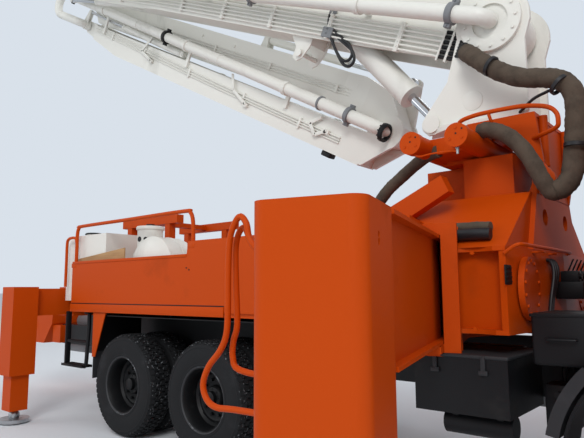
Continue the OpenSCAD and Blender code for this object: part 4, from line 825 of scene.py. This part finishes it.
class PUMP_OT_deck(bpy.types.Operator):
    """Adds the railing tubes, side strips, mudguards, tanks, ladder and tail lamps"""
    bl_idname = "pump.deck"
    bl_label = "Deck"

    def execute(self, context):
        self.rails(context.scene.pump_carrier.rail_radius)
        for side, axes in SIDES.items():
            self.panel(side, axes)
            self.mudguard(side, axes)
        self.board()
        self.tanks()
        self.ladder()
        self.boxes()
        self.tail()
        return {"FINISHED"}

    def rails(self, r):
        """One long hoop and one short hoop of bent tube on each side of the deck."""
        hoops = Piece("railing_hoops", "orange")
        for y in (-1.215, 1.215):
            hoops.tube(upright(y, [(-1.08, 1.85), (-1.08, 2.05), (-1.08, 2.24), (-1.05, 2.315),
                                   (-0.97, 2.335), (0.0, 2.337), (0.97, 2.339), (1.07, 2.318),
                                   (1.11, 2.24), (1.12, 2.1), (1.12, 1.98)]), r, 12, 4)
            hoops.tube(upright(y, [(-1.32, 1.6), (-1.32, 1.9), (-1.32, 2.14), (-1.29, 2.19), (-1.24, 2.205),
                                   (-1.16, 2.205), (-1.11, 2.19), (-1.085, 2.14)]), r * 0.85, 12, 4)
            for x in (-1.08, 1.12):
                top = 1.86 if x < 0 else 1.99
                hoops.box((x - 0.05, y - 0.032, top - 0.03), (x + 0.05, y - 0.028, top + 0.02), 0.001)
        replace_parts(hoops.done(80), "railings")

    def panel(self, side, axes):
        """The strips, posts and gusset of one side panel, a black strip of painted shade along its foot, and
        two bolts.
        """
        face = -1.2455
        strip = Piece(f"deck_strip_{side}", "orange", axes=axes)
        strip.box((-1.11, -1.2575, 1.303), (1.6, face, 1.394), 0.003)
        strip.plate([(-0.612, 1.3), (-0.36, 1.3), (-0.552, 0.8), (-0.612, 0.8)], -1.236, 0.012, 0.002)
        strip.box((-1.105, -1.2515, 1.875), (1.055, face, 1.902), 0.002)
        for x in (-0.7, -0.28, 0.14, 0.56, 0.98, 1.5, 2.05, 2.6):
            strip.box((x, -1.184, 1.41), (x + 0.04, -1.156, 1.86), 0.003)
        strip.done()
        shade_line_and_bolts = Piece(f"deck_shade_line_and_bolts_{side}", "black", axes=axes)
        shade_line_and_bolts.bolts([(1.06, face, 1.768), (1.1, face, 1.748)], OUTWARD, 0.008, 0.004)
        # Thin black strip under the panel's lower edge: painted shade for the shadow in the gap there
        shade_line_and_bolts.box((-1.1, -1.2465, 1.397), (1.6, -1.2453, 1.407), 0.0004)
        shade_line_and_bolts.done()

    def mudguard(self, side, axes):
        """The plate over one side's rear wheels, the arch over its front wheel, and the rubber flap."""
        guard = Piece(f"mudguard_{side}", "black", axes=axes)
        guard.box((-0.6, -1.215, 1.262), (1.98, -0.6, 1.272), 0.002)
        for x in (-0.56, 0.62, 1.9):
            guard.box((x, -1.1, 1.268), (x + 0.04, -0.64, 1.305), 0.003)
        guard.box((-0.58, -1.21, 0.86), (-0.572, -0.6, 1.27), 0.002)
        guard.lathe((AXLES["front"], WHEEL_FACE, TYRE_RADIUS), ACROSS,
                    [(0.672, 0.0), (0.69, 0.0), (0.69, 0.36), (0.672, 0.36)], 36, closed=True,
                    sweep=(188, 352))
        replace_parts(guard.done(), "mudguards")
        flap = Piece(f"mud_flap_{side}", "trim", axes=axes, slot="tyre_rubber")
        flap.box((-0.588, -1.235, 0.56), (-0.58, -0.62, 0.95), 0.002)
        flap.bolts([(-0.588, y, 0.92) for y in (-1.15, -0.95, -0.75)], (-1, 0, 0), 0.012, 0.008)
        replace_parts(flap.done(), "mudguards")

    def board(self):
        """The plywood board that stands inside the right side panel."""
        board = Piece("plywood_board", "plywood")
        board.plate([(-1.11, 1.42), (-1.11, 1.94), (-0.12, 2.03), (-0.12, 1.42)], -1.177, 0.018, 0.001)
        board.done()

    def tanks(self):
        """The cross-laid water drum with its domed end and neck, and the tail tank's cap."""
        drum = Piece("water_drum_shell", "cream")
        drum.lathe((0.22, -0.88, 1.775), OUTWARD, [
            (0, -0.262), (0.16, -0.255), (0.29, -0.232), (0.352, -0.19), (0.365, -0.15), (0.365, -0.045),
            (0.371, -0.04), (0.371, -0.02), (0.365, -0.015), (0.365, 0.15), (0.371, 0.154), (0.371, 0.172),
            (0.362, 0.178), (0.33, 0.216), (0.25, 0.246), (0.13, 0.262), (0, 0.266)], 64)
        drum.box((-0.06, -1.05, 1.4), (0.5, -0.99, 1.56), 0.006)
        drum.box((-0.06, -0.77, 1.4), (0.5, -0.71, 1.56), 0.006)
        drum.lathe((-0.02, -0.9, 2.02), UP, [(0.145, 0.0), (0.145, 0.22), (0.16, 0.225), (0.16, 0.25),
                                             (0.152, 0.262), (0.06, 0.27), (0, 0.27)], 40)
        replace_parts(drum.done(), "water_drum")
        caps = Piece("drum_fittings", "black")
        caps.bar((-0.02, -0.9, 2.285), (-0.02, -0.9, 2.31), 0.055, 24, 0.048)
        caps.bar((-0.02, -1.043, 2.13), (-0.02, -1.05, 2.13), 0.03, 20)
        caps.bar((0.06, -1.02, 2.13), (0.066, -1.028, 2.13), 0.022, 20)
        caps.lathe((0.22, -1.145, 1.775), OUTWARD,
                   [(0.05, 0.0), (0.05, 0.008), (0.042, 0.012), (0, 0.012)], 24)
        caps.lathe((-1.2, -0.92, 2.266), UP, [(0.11, 0.0), (0.11, 0.01), (0.095, 0.02), (0, 0.022)], 32)
        caps.done()

    def ladder(self):
        """A tube ladder under the deck's edge, with a middle rung and an open-grate bottom tread."""
        steps = Piece("tube_ladder", "black")
        steps.box((-1.335, -1.185, 0.655), (-1.29, -1.12, 1.2995), 0.012)
        steps.tube([(-0.84, -1.15, 1.29), (-0.84, -1.15, 1.1), (-0.84, -1.16, 0.9), (-0.845, -1.165, 0.72),
                    (-0.875, -1.16, 0.665), (-0.95, -1.155, 0.655), (-1.3, -1.155, 0.655)], 0.023, 12, 4)
        steps.box((-0.88, -1.195, 1.275), (-0.8, -1.105, 1.2995), 0.003)
        steps.tube([(-1.31, -1.155, 0.94), (-1.05, -1.157, 0.94), (-0.84, -1.158, 0.94)], 0.022, 12, 2)
        steps.box((-1.33, -1.22, 0.645), (-0.85, -1.212, 0.675), 0.002)
        steps.box((-1.33, -1.09, 0.645), (-0.85, -1.082, 0.675), 0.002)
        for i in range(11):
            steps.box((-1.32 + i * 0.046, -1.215, 0.648), (-1.312 + i * 0.046, -1.087, 0.673))
        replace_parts(steps.done(), "ladder")

    def boxes(self):
        """Lids, straps and caps of the battery box and the fuel tank, and the gear behind the cab."""
        lid = Piece("battery_lid", "trim", slot="black_paint")
        lid.box((3.475, -1.206, 1.0995), (4.125, -0.515, 1.125), 0.01, segments=3)
        for x in (3.62, 3.95):
            lid.box((x, -1.2135, 1.02), (x + 0.03, -1.2005, 1.118), 0.003)
            lid.box((x - 0.015, -1.2165, 1.0), (x + 0.045, -1.2005, 1.03), 0.004)
        lid.done()
        locker = Piece("cab_rear_locker", "black")
        locker.box((4.24, -1.1, 1.08), (4.6, -0.58, 1.4), 0.02, segments=3)
        locker.box((4.235, -1.105, 1.375), (4.605, -0.575, 1.395), 0.004)
        locker.tube([(4.34, -1.1, 1.24), (4.34, -1.125, 1.24), (4.42, -1.13, 1.24), (4.5, -1.125, 1.24),
                     (4.5, -1.1, 1.24)], 0.008, 8, 3)
        locker.box((4.28, -0.62, 0.99), (4.36, -0.46, 1.085), 0.004)
        locker.box((4.46, -0.62, 0.99), (4.54, -0.46, 1.085), 0.004)
        locker.box((4.24, -0.9, 0.66), (4.42, -0.7, 0.94), 0.012)
        for z in (0.72, 0.8, 0.88):
            locker.bar((4.33, -0.9, z), (4.33, -0.94, z), 0.024, 6)
        locker.tube([(4.33, -0.74, 0.94), (4.33, -0.74, 1.02), (4.38, -0.72, 1.08)], 0.016, 8, 3)
        locker.done()
        tank = Piece("fuel_tank_fittings", "steel", axes=LEFT)
        for x in (3.46, 3.98):
            tank.box((x, -1.188, 0.512), (x + 0.06, -1.1805, 1.028), 0.002)
        tank.lathe((4.12, -1.08, 1.0205), UP, [(0.06, 0.0), (0.06, 0.025), (0.072, 0.028), (0.072, 0.055),
                                               (0.06, 0.062), (0, 0.064)], 28)
        tank.done()
        for side, axes in SIDES.items():
            wing = Piece(f"front_wing_{side}", "trim", axes=axes)
            wing.lathe((AXLES["front"], -1.245, TYRE_RADIUS), ACROSS,
                       [(0.712, 0.0), (0.785, 0.0), (0.785, 0.014), (0.728, 0.02), (0.728, 0.3),
                        (0.712, 0.3)], 18, closed=True, sweep=(192, 226))
            wing.done()

    def tail(self):
        """The lamps on the rear leg beam and the bolts along the hopper's rim."""
        for side, axes in SIDES.items():
            holder = Piece(f"rear_lamp_holder_{side}", "black", axes=axes)
            holder.box((-1.905, -0.93, 1.31), (-1.8705, -0.6, 1.45), 0.008)
            holder.done()
            for name, key, outer, inner in (("rear_lamp", "red_lamp", -0.8, -0.62),
                                            ("rear_turn_lamp", "amber_lamp", -0.915, -0.815)):
                lens = Piece(f"{name}_{side}", key, axes=axes)
                lens.box((-1.922, outer, 1.325), (-1.904, inner, 1.435), 0.008, segments=3)
                lens.done()
            rim = Piece(f"hopper_bolts_{side}", "steel", axes=axes)
            rim.bolts([(x, -0.6605, 1.46) for x in (-3.75, -3.5, -3.25, -3.0, -2.8)], OUTWARD, 0.013, 0.009)
            rim.done()


# ---- Cab ----

class PUMP_OT_cab(bpy.types.Operator):
    """Adds lamps, mirrors, wipers, grille, hatch, steps and grab rails to the cab"""
    bl_idname = "pump.cab"
    bl_label = "Cab"

    def execute(self, context):
        self.front()
        self.roof()
        for side, axes in SIDES.items():
            self.side(side, axes)
        return {"FINISHED"}

    def front(self):
        """The grille with its slats, the sun visor, the wipers and the headlamps."""
        grille = Piece("cab_grille", "trim", slot="black_paint")
        grille.box((6.438, -0.7, 1.09), (6.456, 0.7, 1.54), 0.006)
        for z in (1.125 + i * 0.068 for i in range(6)):
            grille.box((6.452, -0.66, z), (6.478, 0.66, z + 0.036), 0.008, Matrix.Rotation(0.25, 4, "Y"))
        grille.box((6.452, -0.7, 1.09), (6.47, -0.672, 1.54), 0.004)
        grille.box((6.452, 0.672, 1.09), (6.47, 0.7, 1.54), 0.004)
        grille.box((6.4, -1.0, 2.505), (6.47, 1.0, 2.515), 0.003, Matrix.Rotation(0.35, 4, "Y"))
        for y in (-0.9, 0.0, 0.9):
            grille.box((6.27, y - 0.012, 2.495), (6.43, y + 0.012, 2.515), 0.003)
        grille.done()
        wipers = Piece("cab_wipers", "trim", slot="black_paint")
        for y in (-0.62, 0.16):
            wipers.bar((6.44, y, 1.655), (6.466, y, 1.655), 0.02, 16, 0.014)
            wipers.tube([(6.462, y, 1.655), (6.456, y + 0.12, 1.74), (6.434, y + 0.28, 1.86)], 0.007, 8, 4)
            wipers.tube([(6.449, y + 0.02, 1.74), (6.428, y + 0.28, 1.86), (6.405, y + 0.52, 1.99)],
                        0.008, 6, 3)
        wipers.done()
        lens = Piece("headlamps", "lamp")
        bezel = Piece("headlamp_bezels", "trim", slot="black_paint")
        for y in (-0.95, -0.73, 0.73, 0.95):
            lens.lathe((6.445, y, 0.79), AHEAD, [(0, 0), (0.072, 0), (0.072, 0.022), (0.06, 0.036),
                                                 (0.03, 0.044), (0, 0.046)], 32)
            bezel.ring((6.485, y, 0.79), AHEAD, 0.0835, 0.024, 0.073, 32)
        lens.done(60)
        bezel.done()

    def roof(self):
        """The hatch, the roof's two ribs and its marker lamps."""
        top = 2.6395
        hatch = Piece("cab_roof_hatch", "orange")
        hatch.box((5.25, -0.36, top), (5.8, 0.36, 2.668), 0.01, segments=3)
        for y in (-0.95, 0.95):
            hatch.box((4.85, y - 0.02, top), (6.05, y + 0.02, 2.652), 0.004)
        hatch.done()
        markers = Piece("roof_marker_lamps", "amber_lamp")
        for y in (-0.7, 0.7):
            markers.box((6.205, y - 0.06, 2.585), (6.255, y + 0.06, 2.625), 0.01,
                        Matrix.Rotation(0.72, 4, "Y"), 3)
        markers.done()

    def side(self, side, axes):
        """The mirror, steps, grab rail and turn lamp of one side."""
        mirror = Piece(f"mirror_housing_{side}", "trim", axes=axes)
        mirror.tube([(6.29, -1.18, 2.36), (6.31, -1.24, 2.37), (6.33, -1.32, 2.36), (6.335, -1.34, 2.28),
                     (6.335, -1.34, 2.05), (6.335, -1.34, 1.86), (6.335, -1.32, 1.8), (6.35, -1.24, 1.78),
                     (6.37, -1.18, 1.77)], 0.011, 10, 4)
        mirror.box((6.318, -1.43, 1.95), (6.368, -1.255, 2.29), 0.022, segments=4)
        mirror.box((6.322, -1.42, 1.75), (6.364, -1.27, 1.915), 0.02, segments=4)
        mirror.done(50)
        glass = Piece(f"mirror_glass_{side}", "mirror", axes=axes)
        glass.box((6.315, -1.415, 1.968), (6.3195, -1.27, 2.272), 0.0015)
        glass.box((6.319, -1.406, 1.768), (6.3235, -1.284, 1.898), 0.0015)
        glass.done()
        steps = Piece(f"cab_steps_{side}", "black", axes=axes)
        for z in (0.62, 0.84):
            steps.box((5.9, -1.195, z), (6.32, -1.03, z + 0.012), 0.003)
            steps.box((5.9, -1.2, z - 0.012), (6.32, -1.19, z + 0.022), 0.003)
            for i in range(7):
                steps.box((5.92 + i * 0.06, -1.18, z + 0.012), (5.935 + i * 0.06, -1.05, z + 0.017))
        for x in (5.9, 6.312):
            steps.box((x, -1.195, 0.61), (x + 0.008, -1.03, 1.03), 0.002)
        steps.done()
        rail = Piece(f"cab_grab_rail_{side}", "black", axes=axes)
        rail.tube([(4.9, -1.185, 1.5), (4.9, -1.225, 1.52), (4.9, -1.235, 1.6), (4.9, -1.235, 2.1),
                   (4.9, -1.225, 2.18), (4.9, -1.185, 2.2)], 0.012, 10, 4)
        rail.done()
        turn = Piece(f"side_turn_lamp_{side}", "amber_lamp", axes=axes)
        turn.box((6.33, -1.205, 1.18), (6.41, -1.188, 1.23), 0.007, segments=3)
        turn.done()


# ---- Studio ----

class PUMP_OT_studio(bpy.types.Operator):
    """Sets up the floor, lights, sky and the camera at the photo's view"""
    bl_idname = "pump.studio"
    bl_label = "Studio"

    def execute(self, context):
        scene = context.scene
        scene.view_settings.view_transform = "Standard"
        self.sky(scene)
        self.ground(scene)
        self.lights(scene)
        self.camera(scene)
        return {"FINISHED"}

    def sky(self, scene):
        """A sky that lights the truck evenly, with a pale backdrop where the camera sees it."""
        scene.world = bpy.data.worlds.new("studio_sky")
        scene.world.use_nodes = True
        tree = scene.world.node_tree
        tree.nodes.clear()
        light = add(tree, "Background", {"Color": linear("#eef2f8"), "Strength": scene.pump_stage.sky})
        backdrop = add(tree, "Background", {"Color": linear("#d9e1ea"), "Strength": 1.0})
        seen = add(tree, "LightPath").outputs["Is Camera Ray"]
        both = add(tree, "MixShader", {"Fac": seen})
        tree.links.new(light.outputs["Background"], both.inputs[1])
        tree.links.new(backdrop.outputs["Background"], both.inputs[2])
        add(tree, "OutputWorld", {"Surface": both.outputs["Shader"]})

    def ground(self, scene):
        """A wide floor at the wheels' foot."""
        plane = bmesh.new()
        bmesh.ops.create_grid(plane, x_segments=1, y_segments=1, size=400)
        data = bpy.data.meshes.new("floor")
        plane.to_mesh(data)
        plane.free()
        # Even pale grey ground that keeps the truck's shadow
        data.materials.append(plain("matt_studio_floor", "#e4e8ec", 0.95))
        floor = bpy.data.objects.new("floor", data)
        scene.collection.objects.link(floor)

    def lights(self, scene):
        """Three soft lights that face the truck's middle: name, place, width in metres and power in watts."""
        middle = Vector((0, 0, 2.5))
        for name, where, size, power in (("key_light", (9, -14, 13), 7, 1500),
                                         ("fill_light", (-12, -12, 9), 10, 450),
                                         ("back_light", (-4, 15, 14), 9, 600)):
            lamp = bpy.data.objects.new(name, bpy.data.lights.new(name, "AREA"))
            lamp.data.size, lamp.data.energy = size, power
            lamp.location = where
            lamp.rotation_euler = (middle - Vector(where)).to_track_quat("-Z", "Y").to_euler()
            scene.collection.objects.link(lamp)

    def camera(self, scene):
        """The camera where the photograph was taken, found from the tyres and the axles in it."""
        settings = scene.pump_stage
        camera = bpy.data.objects.new("photo_view", bpy.data.cameras.new("photo_view"))
        camera.data.lens, camera.data.sensor_width, camera.data.clip_end = settings.lens, 36.0, 1000.0
        yaw, pitch, roll = math.atan2(0.766, -0.643), math.radians(7.2), math.radians(-0.3)
        ahead = Vector((math.cos(yaw) * math.cos(pitch), math.sin(yaw) * math.cos(pitch), math.sin(pitch)))
        right = ahead.cross(Vector(UP)).normalized()
        up = right.cross(ahead)
        side = right * math.cos(roll) + up * math.sin(roll)
        top = up * math.cos(roll) - right * math.sin(roll)
        turn = Matrix((side, top, -ahead)).transposed().to_4x4()
        camera.matrix_world = RIGHT @ Matrix.Translation(settings.eye) @ turn
        scene.collection.objects.link(camera)
        scene.camera = camera


class PUMP_PT_panel(bpy.types.Panel):
    """Lists the settings and the operators that dress the truck"""
    bl_idname = "PUMP_PT_panel"
    bl_label = "Pump Truck"
    bl_space_type = "VIEW_3D"
    bl_region_type = "UI"
    bl_category = "Pump Truck"

    def draw(self, context):
        for setting in SETTINGS:
            group = getattr(context.scene, setting)
            box = self.layout.box()
            for name in group.bl_rna.properties.keys():
                if name not in ("rna_type", "name"):
                    box.prop(group, name)
        for operator in OPERATORS:
            self.layout.operator(operator.bl_idname)


OPERATORS = (PUMP_OT_finishes, PUMP_OT_wheels, PUMP_OT_boom, PUMP_OT_hoses, PUMP_OT_legs, PUMP_OT_deck,
             PUMP_OT_cab, PUMP_OT_studio)
SETTINGS = {"pump_wheels": WheelSettings, "pump_boom": BoomSettings, "pump_carrier": CarrierSettings,
            "pump_stage": StageSettings}
CLASSES = (*SETTINGS.values(), *OPERATORS, PUMP_PT_panel)


def register():
    for cls in CLASSES:
        bpy.utils.register_class(cls)
    for name, group in SETTINGS.items():
        setattr(bpy.types.Scene, name, PointerProperty(type=group))


def unregister():
    for name in SETTINGS:
        delattr(bpy.types.Scene, name)
    for cls in reversed(CLASSES):
        bpy.utils.unregister_class(cls)


def main():
    """Registers the add-on and runs every operator in order."""
    register()
    for operator in OPERATORS:
        group, name = operator.bl_idname.split(".")
        if getattr(getattr(bpy.ops, group), name)() != {"FINISHED"}:
            raise RuntimeError(f"{operator.bl_idname} did not finish")


if __name__ == "__main__":
    main()
